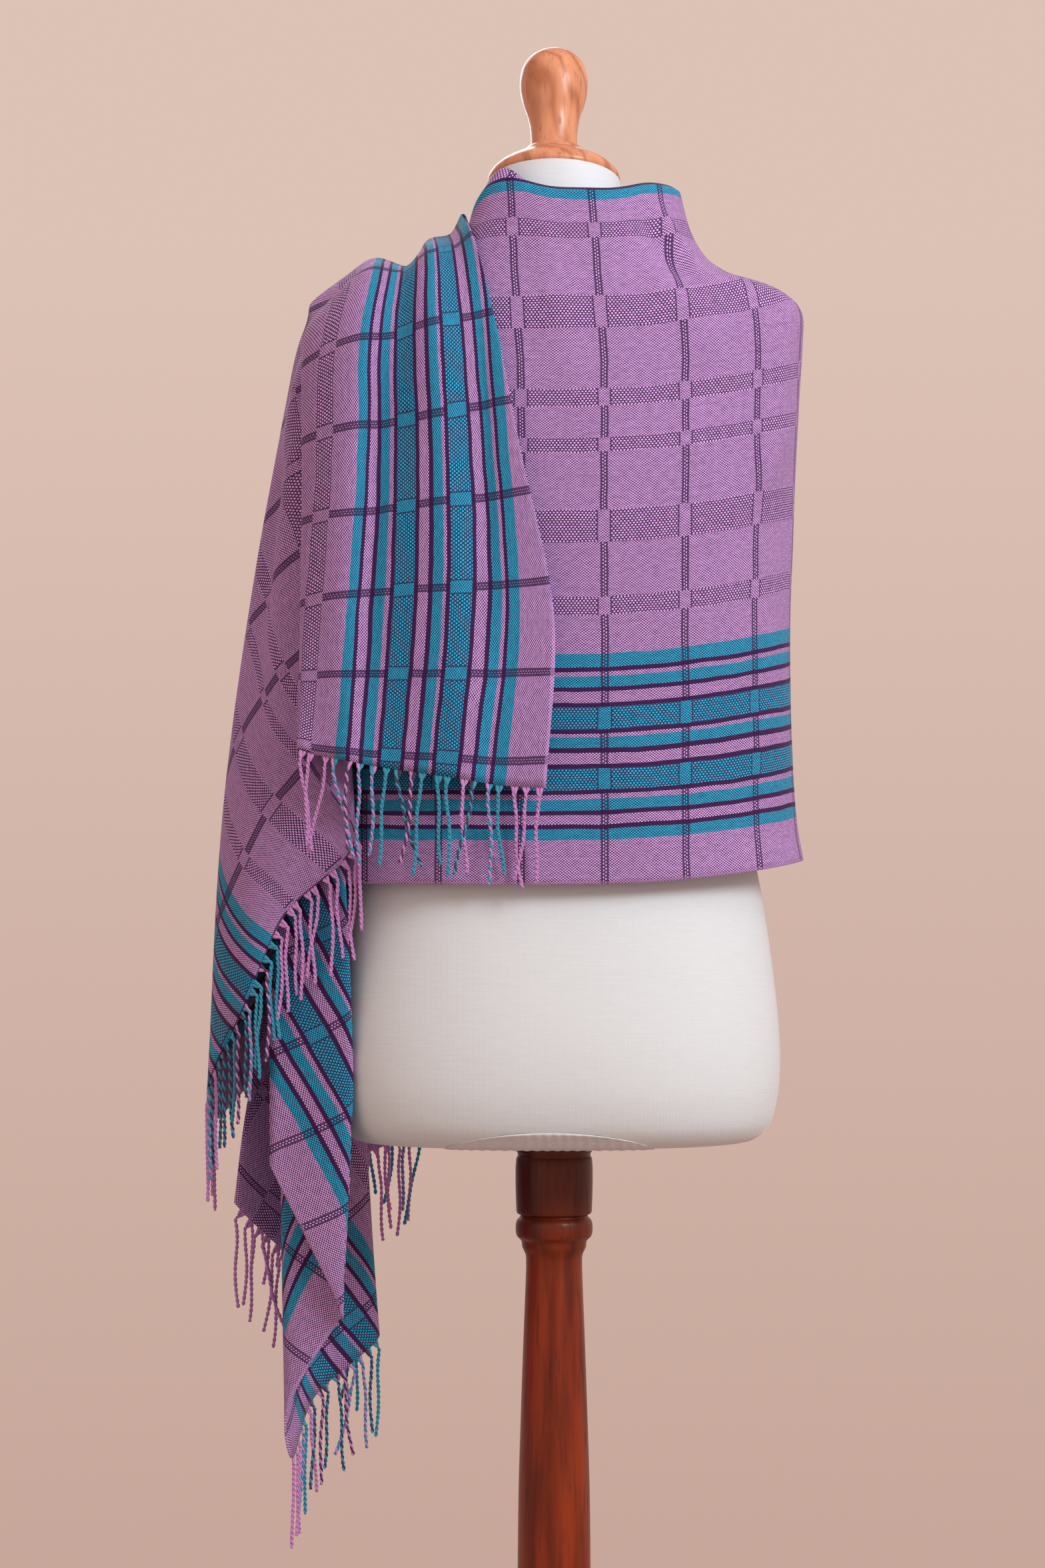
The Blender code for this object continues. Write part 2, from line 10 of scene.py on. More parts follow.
import bpy
import numpy as np
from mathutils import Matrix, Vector

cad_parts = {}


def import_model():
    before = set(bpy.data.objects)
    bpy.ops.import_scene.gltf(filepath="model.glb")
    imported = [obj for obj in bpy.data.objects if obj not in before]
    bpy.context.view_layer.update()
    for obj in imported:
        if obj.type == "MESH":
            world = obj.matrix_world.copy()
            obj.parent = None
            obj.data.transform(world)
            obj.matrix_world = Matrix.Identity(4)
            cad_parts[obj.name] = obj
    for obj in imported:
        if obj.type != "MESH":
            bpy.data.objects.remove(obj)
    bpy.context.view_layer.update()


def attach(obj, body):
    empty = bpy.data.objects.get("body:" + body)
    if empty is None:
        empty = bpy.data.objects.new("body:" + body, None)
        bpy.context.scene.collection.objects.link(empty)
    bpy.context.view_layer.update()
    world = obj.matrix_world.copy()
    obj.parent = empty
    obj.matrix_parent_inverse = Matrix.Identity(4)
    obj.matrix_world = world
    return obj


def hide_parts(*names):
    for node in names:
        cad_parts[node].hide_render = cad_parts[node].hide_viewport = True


MM = 0.001
SEAM_GAP = 0.3
SQUARENESS = 2.3
SEAM_Y = 12.0
SHARP_ANGLE, FORM_SHARP_ANGLE = math.radians(40), math.radians(50)
STRAND_SPACING = 9.9
STRAND_LENGTH = 74.0
STRAND_RINGS = 84
PLY_SIDES = 6
PLY_RADIUS = 0.92
PLY_OFFSET = 0.66
TWIST_PITCH = 8.5
ROOT_LENGTH = 8.0
FRINGE_YARNS = {"lilac": (0.56, 0.24, 0.58), "teal": (0.01, 0.30, 0.46), "purple": (0.055, 0.012, 0.085)}
BACKDROP = ((0.57, 0.385, 0.325), (0.72, 0.54, 0.465))  # low and high
BACKDROP_PLACES = (0.33, 0.62)
FLOOR_RADIUS = 2.4  # metres
CAMERA_PLACE, CAMERA_LENS = (-0.025, -3.5, 1.082), 101.6  # metres, millimetres
FORM_SHRINK = 0.5
SEAM_LEFT, SEAM_RIGHT, SEAM_LOW, SEAM_RISE = -85.0, 77.0, 800.5, 14.0  # arched seam of the form
GATHER_PITCH = 8.2

# Stretches of fringe: the sheet, the folds from which and to which it runs, and how far strands sway
FRINGES = (
    ("fringe_throw_back", "throw", "neck edge", "left edge", 1.3),
    ("fringe_throw_fold", "throw", "hidden valley", "side ridge", 0.9),
    ("fringe_throw_side", "throw", "side ridge", "side outline", 0.4),
    ("fringe_throw_front", "throw", "side outline", "front edge", 0.9),
    ("fringe_tail_low", "tail", "behind left fold", "front right fold", 1.2),
    ("fringe_tail_middle", "tail", "behind front fold", "outer left fold", 1.2),
    ("fringe_tail_inner", "tail", "behind outer fold", "inner front fold", 1.2),
    ("fringe_tail_last", "tail", "behind inner fold", "last edge", 1.2),
)

# Dress form, from the underside up: height, half width, depth to the back, depth to the front
FORM_RINGS = (
    (800, 148, 88, 76), (802, 158, 96, 84), (812, 170, 108, 93), (835, 177, 116, 98),
    (870, 179, 118, 100), (930, 174, 112, 101), (1017, 160, 98, 98), (1080, 142, 86, 92),
    (1130, 130, 80, 92), (1190, 134, 82, 104), (1250, 146, 88, 122), (1290, 154, 92, 128),
    (1340, 168, 95, 118), (1390, 181, 97, 100), (1425, 188, 93, 78), (1445, 190, 83, 61),
    (1455, 188.5, 77, 53), (1464, 181.5, 71, 46), (1471.5, 167.5, 67, 43), (1478, 147.5, 63, 43),
    (1483, 128.5, 62, 45), (1489, 104, 62, 49), (1499, 82, 61, 52), (1511, 66, 60, 53),
    (1530, 57, 57, 53),
)
FORM_SIDES = 128
NECK_RADIUS = 53.0
NECK_TOP = 1556.0
NECK_TILT = math.radians(15)  # the neck's end leans towards the front

# Turned pieces: radius, height along the piece's own axis
CAP_PROFILE = (
    (51.5, 0), (52.4, 2.5), (51, 7), (45, 13), (35, 19), (27.5, 23), (25.5, 25.5), (23, 28),
)
KNOB_PROFILE = (
    (18.6, 0), (18.3, 4), (18.8, 17), (20.8, 29), (24.4, 40), (27.0, 53), (26.9, 61), (24.6, 71),
    (20.0, 78), (12.5, 83.5), (5, 86),
)
POLE_PROFILE = (
    (24, 32), (24, 180), (27, 290), (29.8, 380), (28.9, 462), (28.2, 523), (26.9, 568), (24.6, 636),
    (22.3, 696), (22.2, 703), (22.6, 710), (25.2, 716), (26, 721), (29.6, 725), (30.5, 731),
    (29.6, 737), (26.5, 741), (29.4, 743), (30, 748), (30, 786), (28.9, 788), (28.9, 790),
    (30, 792), (30, 799.7),
)
BASE_PROFILE = (
    (193, 0), (196, 4), (196, 20), (190, 27), (170, 30), (60, 34), (46, 40), (40, 47), (33, 51),
    (24.3, 52), (24.3, 31.7),
)
TURNED_SIDES = 72

# Rows across the back from hem to collar, then the edge turned in at the neck: distance up the cloth,
# the side (x, z) at the wearer's right, the middle of the back (y, z), the half width on the
# wearer's left, how far left the row reaches, and how far its left end drops to go under the throw
BACK_ROWS = (
    (0, 197, 1022, -116, 1005, 190, 179, 0), (30, 192, 1051, -114, 1034, 190, 179, 0),
    (90, 188, 1112, -111, 1092, 189, 179, 0), (185, 186.5, 1206, -110, 1182, 189, 179, 0),
    (280, 189.5, 1299, -110, 1273, 190, 179, 0), (372, 194, 1390, -107, 1360, 193, 172, 0),
    (415, 196.5, 1432, -104, 1400, 194, 148, 0), (435, 196.5, 1453, -101, 1419, 192, 138, 0),
    (450, 189, 1464.5, -99, 1434, 184, 128, 0), (463, 176, 1472, -97, 1447, 172, 118, 0),
    (477, 158, 1479, -94.5, 1460, 155, 107, 2), (492, 139, 1485, -91, 1474, 135, 97, 5),
    (507, 123, 1495, -87, 1488, 116, 88, 12), (525, 111, 1512, -82, 1507, 98, 79, 21),
    (545, 104, 1531, -77, 1527, 86, 71, 28), (560, 101, 1544, -73.5, 1542, 82, 68, 31),
    (567, 99.5, 1549.5, -71.5, 1549, 80, 66.5, 31), (572, 96.5, 1551.5, -69.2, 1551.6, 77, 64, 29),
    (577, 93.5, 1549, -67, 1549, 74, 62, 27), (595, 90, 1532, -65.2, 1533, 71, 60, 18),
    (622, 86, 1507, -69.4, 1510, 74, 62, 0),
)
DROP_POWER = 6

# Rows across the front, each from the side seam to the crest of the left shoulder or the front edge
# of the thrown end: distance up the cloth, then x, y, z at the right front, the middle, the left
# front, before the crest and just before it
LIP_EDGE = ((-66, -9, 1517),)
FRONT_ROWS = (
    (622, (80, 52, 1492), (10, 86, 1462), (-44, 62, 1474), (-60, 29, 1515.5), (-66, 10, 1516)),
    (577, (88, 55, 1531), (10, 92, 1480), (-47, 68, 1490), (-63, 32, 1521), (-70, 12, 1527)),
    (567, (91, 59, 1530), (10, 98, 1479), (-50, 72, 1486), (-69, 35, 1514), (-78, 16, 1516)),
    (556, (93, 61, 1519), (8, 101, 1472), (-54, 80, 1480), (-82, 40, 1507), (-93, 20, 1511)),
    (540, (96, 63, 1505), (6, 104, 1462), (-58, 85, 1468), (-97, 45, 1488), (-109, 24, 1491)),
    (518, (101, 67, 1490), (5, 107, 1452), (-62, 92, 1462), (-114, 51, 1489), (-131, 27, 1496)),
    (500, (109, 71, 1477), (5, 110, 1443), (-66, 99, 1450), (-132, 56, 1473), (-157, 30, 1481)),
    (485, (118, 76, 1466), (6, 113, 1432), (-70, 106, 1436), (-147, 62, 1457), (-181, 31, 1462)),
    (479, (122, 77, 1461), (6, 114, 1427), (-71, 108, 1431), (-149, 64, 1451), (-185, 34, 1456)),
    (474, (126, 78, 1457), (7, 115, 1423), (-71, 110, 1427), (-150, 66, 1447), (-185, 37, 1450)),
    (468, (130, 80, 1452), (8, 117, 1417), (-72, 112, 1420), (-151, 69, 1441), (-186, 42, 1446)),
    (461, (135, 82, 1446), (8, 119, 1411), (-73, 115, 1413), (-152, 73, 1433), (-187, 47, 1440)),
    (454, (139, 84, 1440), (9, 121, 1404), (-74, 118, 1404), (-153, 78, 1421), (-188, 53, 1431)),
    (446, (142, 86, 1434), (10, 123, 1397), (-75, 120, 1393), (-154, 83, 1404), (-184, 66, 1413)),
    (420, (146, 89, 1410), (12, 127, 1372), (-78, 126, 1361), (-156, 91, 1366), (-188, 74, 1375)),
    (372, (148, 92, 1362), (16, 133, 1324), (-80, 135, 1308), (-158, 98, 1299), (-194, 80, 1307)),
    (285, (146, 95, 1283), (24, 138, 1246), (-84, 146, 1217), (-172, 108, 1186), (-210, 85, 1191)),
    (155, (146, 93, 1160), (32, 138, 1130), (-88, 156, 1085), (-188, 122, 1029), (-228, 92, 1020)),
    (0, (152, 90, 1013), (42, 140, 995), (-84, 168, 948), (-196, 132, 884), (-240, 92, 845)),
)

# Folds of the thrown end from the neck edge round to the front edge: x, y, z at the crest of the
# shoulder, its top, the shoulder blade, the middle of the back, the waist and the hem
THROW_FOLDS = (
    ("neck edge", (-73, -8, 1531), (-64, -69, 1509), (-48, -106, 1447),
     (-27, -123, 1340), (-1, -126, 1210), (-7, -128, 1079)),
    ("first valley", (-82, -5, 1516), (-78, -66, 1497), (-70, -103, 1445),
     (-58, -117, 1340), (-42, -121, 1210), (-42, -123, 1081)),
    ("first ridge", (-99, -2, 1512), (-98, -66, 1494), (-94, -108, 1442),
     (-86, -123, 1340), (-76, -128, 1210), (-72, -129, 1086)),
    ("second valley", (-116, -1, 1491), (-120, -60, 1479), (-126, -93, 1430),
     (-132, -105, 1335), (-138, -113, 1205), (-140, -115, 1096)),
    ("second ridge", (-141, -4, 1497), (-144, -60, 1480), (-149, -98, 1428),
     (-154, -112, 1330), (-158, -117, 1202), (-160, -118, 1100)),
    ("outer slope", (-166, -8, 1481), (-171, -56, 1460), (-176, -84, 1415),
     (-178, -99, 1325), (-180, -105, 1203), (-182, -108, 1104)),
    ("left edge", (-191, -12, 1461), (-194, -42, 1440), (-196, -63, 1402),
     (-195, -79, 1320), (-196, -89, 1205), (-198, -102, 1107)),
    ("under the edge", (-193, -6, 1456), (-194, -32, 1437), (-192, -53, 1398),
     (-190, -71, 1318), (-188, -80, 1205), (-187, -96, 1092)),
    ("hidden valley", (-194, 1, 1453), (-195, -22, 1434), (-188, -46, 1392),
     (-173, -70, 1308), (-163, -79, 1200), (-154, -90, 1042)),
    ("side ridge", (-195, 8, 1450), (-199, -13, 1430), (-205, -34, 1388),
     (-213, -44, 1290), (-218, -53, 1145), (-210, -69, 979)),
    ("side middle", (-196, 16, 1446), (-203, 0, 1424), (-211, -12, 1370),
     (-223, -22, 1265), (-241, -36, 1110), (-242, -57, 907)),
    ("side outline", (-197, 24, 1439), (-206, 14, 1412), (-218, 8, 1350),
     (-239, 0, 1231), (-262, -6, 1050), (-272, -12, 845)),
    ("front edge", (-196, 45, 1420), (-205, 49, 1382), (-216, 52, 1312),
     (-234, 52, 1192), (-252, 48, 1012), (-268, 32, 815)),
)

# Folds of the under end, from the edge beside the back panel to its last edge at the front: x, y, z
# at its top, the ribs, the waist, the hip, the form's underside and the cloth's own edge
TAIL_FOLDS = (
    ("outer edge", (-190, -35, 1290), (-205, -27, 1165), (-215, -42, 1050),
     (-221, -49, 930), (-222, -50, 840), (-222, -50, 785)),
    ("right fold", (-180, -43.5, 1290), (-187, -53, 1160), (-167, -70, 1050),
     (-159, -75, 930), (-157, -70, 800), (-165, -62, 669)),
    ("behind right fold", (-180.2, -38, 1290), (-187, -44, 1160), (-173, -60, 1050),
     (-167, -63, 930), (-165, -58, 800), (-169, -52, 663)),
    ("left fold", (-185, -23, 1290), (-195, -24, 1160), (-199, -32, 1050),
     (-204, -36, 930), (-211, -36, 800), (-210, -33, 589)),
    ("behind left fold", (-187, -12, 1290), (-198, -8, 1160), (-203, -14, 1050),
     (-208, -18, 930), (-213, -18, 800), (-207, -14, 551)),
    ("side bulge", (-187, 2, 1290), (-197, 12, 1160), (-201, 20, 1050),
     (-204, 24, 930), (-202, 28, 800), (-192, 32, 592)),
    ("front right fold", (-185, 17, 1290), (-188, 32, 1160), (-180, 53, 1050),
     (-171, 63, 930), (-158, 71, 800), (-142, 76, 634)),
    ("behind front fold", (-182, 29, 1290), (-183, 44, 1160), (-174, 64, 1050),
     (-163, 77, 930), (-154, 84, 800), (-149, 87, 642)),
    ("outer left fold", (-178, 42, 1290), (-190, 50, 1160), (-206, 48, 1050),
     (-224, 42, 930), (-244, 38, 820), (-252, 38, 743)),
    ("behind outer fold", (-173, 53, 1290), (-185, 62, 1160), (-203, 62, 1050),
     (-219, 56, 930), (-238, 52, 820), (-249, 50, 749)),
    ("inner front fold", (-160, 70, 1290), (-156, 84, 1160), (-140, 101, 1050),
     (-124, 110, 930), (-114, 116, 850), (-108, 120, 799)),
    ("behind inner fold", (-152, 78, 1290), (-152, 95, 1160), (-141, 112, 1050),
     (-129, 121, 930), (-120, 127, 850), (-114, 131, 803)),
    ("last edge", (-143, 86, 1290), (-160, 106, 1160), (-178, 112, 1050),
     (-188, 112, 930), (-190, 112, 870), (-190, 113, 826)),
)

# How finely the sheets are made here: steps from one fold, station or row to the next
THROW_ACROSS, THROW_ALONG = 12, 18
TAIL_ACROSS, TAIL_ALONG = 12, 16
FRONT_ALONG = 24
LIP_STEPS = 8
BACK_COLUMNS = 120
ROW_STEP = 5.0
CLOTH_THICKNESS = 1.4

# The next four tables were worked out by a separate script, so that the weave stretches little.
# Distance up the cloth, from the long edge under the back hem, at each place of THROW_FOLDS
THROW_UP = (
    (690, 693, 703, 722, 745, 745), (670, 669, 672, 677, 690, 705), (638, 634, 638, 642, 653, 671),
    (604, 596, 593, 585, 585, 592), (560, 556, 561, 557, 563, 569), (527, 525, 530, 530, 538, 544),
    (500, 500, 506, 508, 515, 520), (494, 494, 497, 499, 499, 497), (487, 487, 490, 483, 482, 350),
    (479, 480, 471, 443, 366, 208), (470, 468, 447, 412, 298, 114), (461, 453, 424, 369, 200, 38),
    (446, 413, 372, 301, 138, 0),
)
# Distance along the cloth, the middle of the back being 0, at the same places
THROW_RUN = (
    (547, 596, 657, 755, 873, 996), (539, 600, 656, 753, 874, 996), (541, 601, 658, 751, 876, 996),
    (548, 606, 663, 753, 883, 996), (560, 610, 666, 758, 886, 996), (576, 624, 673, 761, 885, 996),
    (598, 633, 677, 763, 880, 996), (598, 630, 678, 762, 880, 996), (594, 627, 681, 772, 887, 996),
    (592, 625, 673, 771, 883, 996), (591, 621, 677, 776, 884, 996), (593, 622, 683, 785, 886, 996),
    (589, 624, 686, 765, 854, 996),
)
# The same two distances at each place of FRONT_ROWS
FRONT_UP = (
    (600, 570, 584, 648, 691), (572, 549, 578, 645, 676), (565, 542, 570, 632, 652),
    (552, 534, 555, 612, 628), (537, 522, 538, 579, 591), (521, 509, 525, 559, 564),
    (505, 497, 508, 528, 526), (489, 483, 488, 501, 493), (483, 477, 482, 493, 484),
    (477, 472, 477, 488, 478), (470, 464, 468, 481, 473), (461, 456, 459, 471, 467),
    (452, 447, 449, 457, 458), (445, 438, 436, 439, 442), (416, 408, 400, 403, 409),
    (362, 351, 344, 347, 360), (277, 263, 255, 256, 279), (150, 141, 129, 116, 127),
    (0, 0, 0, 0, 0),
)
FRONT_RUN = (
    (233, 365, 434, 490, 516), (207, 367, 451, 494, 520), (211, 369, 452, 496, 518),
    (223, 376, 453, 501, 522), (237, 383, 457, 508, 529), (252, 388, 461, 518, 540),
    (262, 392, 466, 528, 552), (271, 397, 472, 540, 571), (274, 399, 473, 542, 574),
    (276, 401, 474, 543, 575), (280, 403, 477, 544, 576), (283, 406, 480, 546, 577),
    (287, 409, 483, 550, 578), (290, 411, 488, 556, 579), (303, 421, 503, 577, 604),
    (320, 438, 528, 615, 652), (335, 457, 569, 679, 723), (349, 480, 619, 750, 804),
    (364, 509, 671, 823, 903),
)
# For each of TAIL_FOLDS at the cloth's own edge: distance up the cloth, distance from the fringed
# end, and how much of the way up the fold goes up the cloth
TAIL_UP = (
    (0, 272, 0.5), (0, 142, 0.5), (0, 130, 0.5), (0, 43, 0.55), (0, 0, 0.6), (62, 0, 0.6),
    (140, 0, 0.6), (156, 0, 0.6), (318, 0, 0.5), (334, 0, 0.5), (572, 0, 0.45), (590, 0, 0.45),
    (690, 0, 0.45),
)
COLLAR_DIP = 8.0  # how far the collar sinks behind the neck
COLLAR_BACK = 0.45  # how far it moves back meanwhile, as a share of that
COLLAR_TIP = 16.0  # how far the turned-in edge stands up near the throw
LINE_STEP, LINE_START = 64.0, 37.8  # the dark threads across the cloth
# Half widths there: small floats, dark threads beside them, plain cloth in a band, dark threads beside it
LINE_FLOATS, LINE_DARK, CROSSING, CROSSING_DARK = 1.75, 3.0, 4.6, 5.7
FADED_FROM, FADED_TO = 420.0, 560.0  # the lines grow fainter between these distances along the cloth

CLOTH_WIDTH = 745.0
SELVEDGE = 2.2
# Floats of each weave: row height, pitch along the row, half length and half height as shares of them
PLAIN_FLOATS = (1.05, 2.55, 0.31, 0.60)
HONEYCOMB_FLOATS = (1.9, 2.75, 0.325, 0.415)
CROSSWISE_FLOATS = (1.75, 2.7, 0.32, 0.32)

# Stripes of each border, outwards from its start: yarn and width. Honeycomb teal is the long-float weave
BORDER = (
    ("teal", 8.3), ("purple", 3.5), ("lilac", 8.0), ("purple", 3.3), ("teal", 8.8), ("lilac", 3.9),
    ("purple", 3.7), ("honeycomb", 16.7), ("purple", 3.7), ("lilac", 8.8), ("purple", 3.7),
    ("teal", 8.8), ("lilac", 3.0), ("purple", 3.7), ("honeycomb", 18.2), ("purple", 3.3),
    ("lilac", 9.2), ("purple", 3.5), ("teal", 8.8), ("lilac", 3.9), ("purple", 3.3), ("teal", 11.3),
)
BORDER_STARTS = (35.0, 560.0)
BORDER_WIDTH = sum(width for _, width in BORDER)
# Lengthwise honeycomb bands of the ground: middle and width
BANDS = ((220.5, 15), (285.5, 25), (350.5, 14), (390.0, 14), (459.5, 25), (528.5, 14))

YARNS = {
    "lilac": (0.69, 0.405, 0.83),
    "teal": (0.012, 0.46, 0.74),
    "honeycomb": (0.012, 0.46, 0.76),
    "purple": (0.055, 0.012, 0.085),
}
WEFT = (0.028, 0.005, 0.055)
POLE_TOP_PAINTED_SHADE = (0.015, 0.002, 0.001)  # painted shade at the top of the pole, where the form above shades it

# Soft creases of each sheet: distance up and along the cloth at the start, the same at the end, height,
# half width at the start and at the end. A separate script turned places in space into most of the distances
CREASES = {
    "back_panel": (
        (545, 88, 478, 128, 7.0, 8, 12), (542, 72, 478, 108, -5.0, 8, 12),
        (486, 122, 446, 222, 4.5, 9, 14), (520, 62, 393, 147, 3.2, 10, 20),
        (545, -12, 378, 15, 2.6, 9, 20), (372, 231, 260, 123, 2.7, 11, 28),
        (139, 240, 79, 119, 2.2, 11, 28), (170, 38, 0, 80, 2.0, 15, 27),
        (0, 245, 0, 109, 2.3, 11, 25), (430, 205, 300, 180, 3.0, 10, 20),
        (300, 225, 200, 240, 2.2, 10, 18),
    ),
    "front_wrap": (
        (580, 509, 259, 437, 8.5, 8, 22), (599, 484, 333, 348, 7.2, 7, 19),
        (523, 533, 170, 544, 8.5, 10, 26), (559, 418, 438, 274, 5.7, 7, 15),
        (343, 637, 95, 685, 7.6, 14, 27), (158, 448, 0, 338, 5.7, 12, 24),
        (293, 326, 161, 276, 4.2, 12, 20), (440, 255, 270, 275, 4.0, 10, 20),
        (250, 380, 60, 400, 3.5, 12, 24), (420, 470, 250, 530, 4.0, 9, 20),
    ),
    "throw": (
        (580, 661, 573, 984, 3.8, 7, 15), (689, 666, 665, 956, 2.9, 7, 14),
        (488, 670, 324, 902, 4.8, 10, 22), (415, 673, 143, 857, 5.8, 12, 26),
        (574, 556, 458, 656, 4.8, 7, 14), (387, 665, 203, 816, 4.8, 10, 22),
    ),
    "tail": (
        (240, -333, 67, -250, 3.0, 8, 14), (88, -288, 0, -137, 2.4, 7, 12),
    ),
}


def smooth(points, steps):
    """Points on a smooth curve through each of these, with so many steps from one to the next."""
    points = np.asarray(points, float)
    if isinstance(steps, int):
        steps = [steps] * (len(points) - 1)
    spans = np.sqrt(np.linalg.norm(np.diff(points[..., :3], axis=0), axis=-1))
    spans = spans.reshape(len(spans), -1).mean(axis=1)
    spans = spans.reshape((-1,) + (1,) * (points.ndim - 1))
    slopes = np.diff(points, axis=0) / spans
    inner = (slopes[:-1] * spans[1:] + slopes[1:] * spans[:-1]) / (spans[:-1] + spans[1:])
    tangent = np.concatenate([slopes[:1], inner, slopes[-1:]])
    result = []
    for k, count in enumerate(steps):
        for step in range(count):
            t = step / count
            result.append(
                (2 * t**3 - 3 * t**2 + 1) * points[k]
                + (t**3 - 2 * t**2 + t) * spans[k] * tangent[k]
                + (3 * t**2 - 2 * t**3) * points[k + 1]
                + (t**3 - t**2) * spans[k] * tangent[k + 1]
            )
    result.append(points[-1])
    return np.array(result)


def eased(share):
    """From 0 to 1 with a gentle start and end."""
    return share * share * (3 - 2 * share)


def turned_over(grid):
    return np.swapaxes(grid, 0, 1)


def unit(vectors):
    return vectors / np.maximum(np.linalg.norm(vectors, axis=-1, keepdims=True), 1e-9)


def tangents(grid):
    steps = unit(np.diff(grid, axis=0))
    return unit(np.concatenate([steps[:1], steps[:-1] + steps[1:], steps[-1:]]))


def normals_of(grid):
    grid = grid[..., :3]
    return unit(np.cross(tangents(grid), turned_over(tangents(turned_over(grid)))))


def across(edge, normals, inner):
    """Directions in a sheet square to its edge, each towards the place just inside it."""
    square = unit(np.cross(normals, tangents(edge)))
    return square * np.sign(np.sum(square * (inner - edge), axis=-1, keepdims=True))


def lengths_along(grid):
    """Distance run along each row of the grid, from its first place."""
    steps = np.linalg.norm(np.diff(grid[..., :3], axis=1), axis=-1)
    return np.concatenate([np.zeros((len(grid), 1)), np.cumsum(steps, axis=1)], axis=1)


def rounded(angle, half_width, depth):
    """The place at this angle on a ring between an ellipse and a box."""
    power = 2 / SQUARENESS
    c, s = math.cos(angle), math.sin(angle)
    return half_width * math.copysign(abs(c) ** power, c), -depth * math.copysign(abs(s) ** power, s)


def back_grid():
    """The sheet across the back: x, y, z, distance up the cloth and distance along it."""
    grid = []
    power = 2 / SQUARENESS
    quarter = math.pi / 2
    for up, right, right_z, back_y, middle_z, left, reach, drop in BACK_ROWS:
        end = math.pi - math.acos((reach / left) ** (1 / power))
        row = []
        for angle in np.linspace(0, end, BACK_COLUMNS):
            c = math.cos(angle)
            x = (right if c > 0 else left) * math.copysign(abs(c) ** power, c)
            y = SEAM_Y + (back_y - SEAM_Y) * math.sin(angle) ** power
            t = min(angle / quarter, 1)
            z = right_z + (middle_z - right_z) * t * t * (3 - 2 * t)
            z -= drop * (max(angle - quarter, 0) / (end - quarter)) ** DROP_POWER
            row.append((x, y, z, up))
        grid.append(row)
    grid = np.array(grid)
    ups = [row[0] for row in BACK_ROWS]
    grid = smooth(grid, [max(1, round((b - a) / ROW_STEP)) for a, b in zip(ups, ups[1:])])
    over = np.clip((grid[..., 3] - 571) / 7, 0, 1) * np.exp(-(((grid[..., 3] - 583) / 16) ** 2))
    grid[..., 2] += COLLAR_TIP * over * np.exp(-(((grid[..., 0] + 40) / 15) ** 2))
    sink = np.clip((grid[..., 3] - 500) / 70, 0, 1)
    sink = COLLAR_DIP * eased(sink) * np.exp(-(((grid[..., 0] - 22) / 42) ** 4))
    grid[..., 2] -= sink
    grid[..., 1] -= COLLAR_BACK * sink
    run = lengths_along(grid)
    middle = np.array([np.interp(0, -row, length) for row, length in zip(grid[..., 0], run)])
    return np.dstack([grid, middle[:, None] - run])


def throw_grid():
    """The thrown end, with the same five values at each place."""
    rows = np.array([fold[1:] for fold in THROW_FOLDS], float)
    rows = np.dstack([rows, THROW_UP, THROW_RUN])
    rows = turned_over(smooth(turned_over(rows), THROW_ALONG))
    grid = smooth(rows, THROW_ACROSS)
    grid[..., 3] = np.clip(grid[..., 3], 0, CLOTH_WIDTH)
    return grid


def tail_grid():
    """The under end, with the same five values, counted from its own edge at the bottom."""
    rows = np.array([fold[1:] for fold in TAIL_FOLDS], float)
    rows = turned_over(smooth(turned_over(rows), TAIL_ALONG))
    grid = smooth(rows, TAIL_ACROSS)
    edge = np.hstack([rows[:, -1], TAIL_UP])
    edge = smooth(edge, TAIL_ACROSS)[:, 3:]
    height = lengths_along(grid[:, ::-1])[:, ::-1]
    share = edge[:, None, 2]
    up = np.clip(edge[:, None, 0] + share * height, 0, CLOTH_WIDTH)
    along = -edge[:, None, 1] - np.sqrt(1 - share**2) * height
    return np.dstack([grid, up, along])


def front_grid(back, throw):
    """The sheet across the front, which takes over the back's seam and the thrown end's crest."""
    edge = np.concatenate([throw[:, 0], throw[-1, 1:]])
    steps = [LIP_STEPS] * len(LIP_EDGE)
    steps += [THROW_ACROSS] * (len(THROW_FOLDS) - 1) + [THROW_ALONG] * (len(THROW_FOLDS[0]) - 2)
    ends = [(*place, CLOTH_WIDTH, throw[0, 0, 4]) for place in LIP_EDGE]
    ends += list(throw[::THROW_ACROSS, 0]) + list(throw[-1, THROW_ALONG::THROW_ALONG])

    def seam(ups):
        return np.stack([np.interp(ups, back[:, 0, 3], back[:, 0, axis]) for axis in range(5)], axis=-1)

    rows = []
    for row, end, ups, runs in zip(FRONT_ROWS, ends, FRONT_UP, FRONT_RUN):
        inner = [(*place, up, run) for place, up, run in zip(row[1:], ups, runs)]
        rows.append([(*place, row[0]) for place in (seam(row[0]), *inner, end)])
    grid = smooth(turned_over(smooth(turned_over(np.array(rows, float)), FRONT_ALONG)), steps)
    lip = LIP_STEPS * len(LIP_EDGE)
    share = np.linspace(0, 1, grid.shape[1])[None, :, None]
    start_change = (seam(grid[:, 0, 5]) - grid[:, 0, :5])[:, None]
    end_change = np.zeros((len(grid), 1, 5))
    end_change[lip:, 0] = edge - grid[lip:, -1, :5]
    grid = grid[..., :5] + start_change * (1 - share) ** 6 + end_change * share**4
    grid[..., 3] = np.clip(grid[..., 3], 0, CLOTH_WIDTH)
    return grid


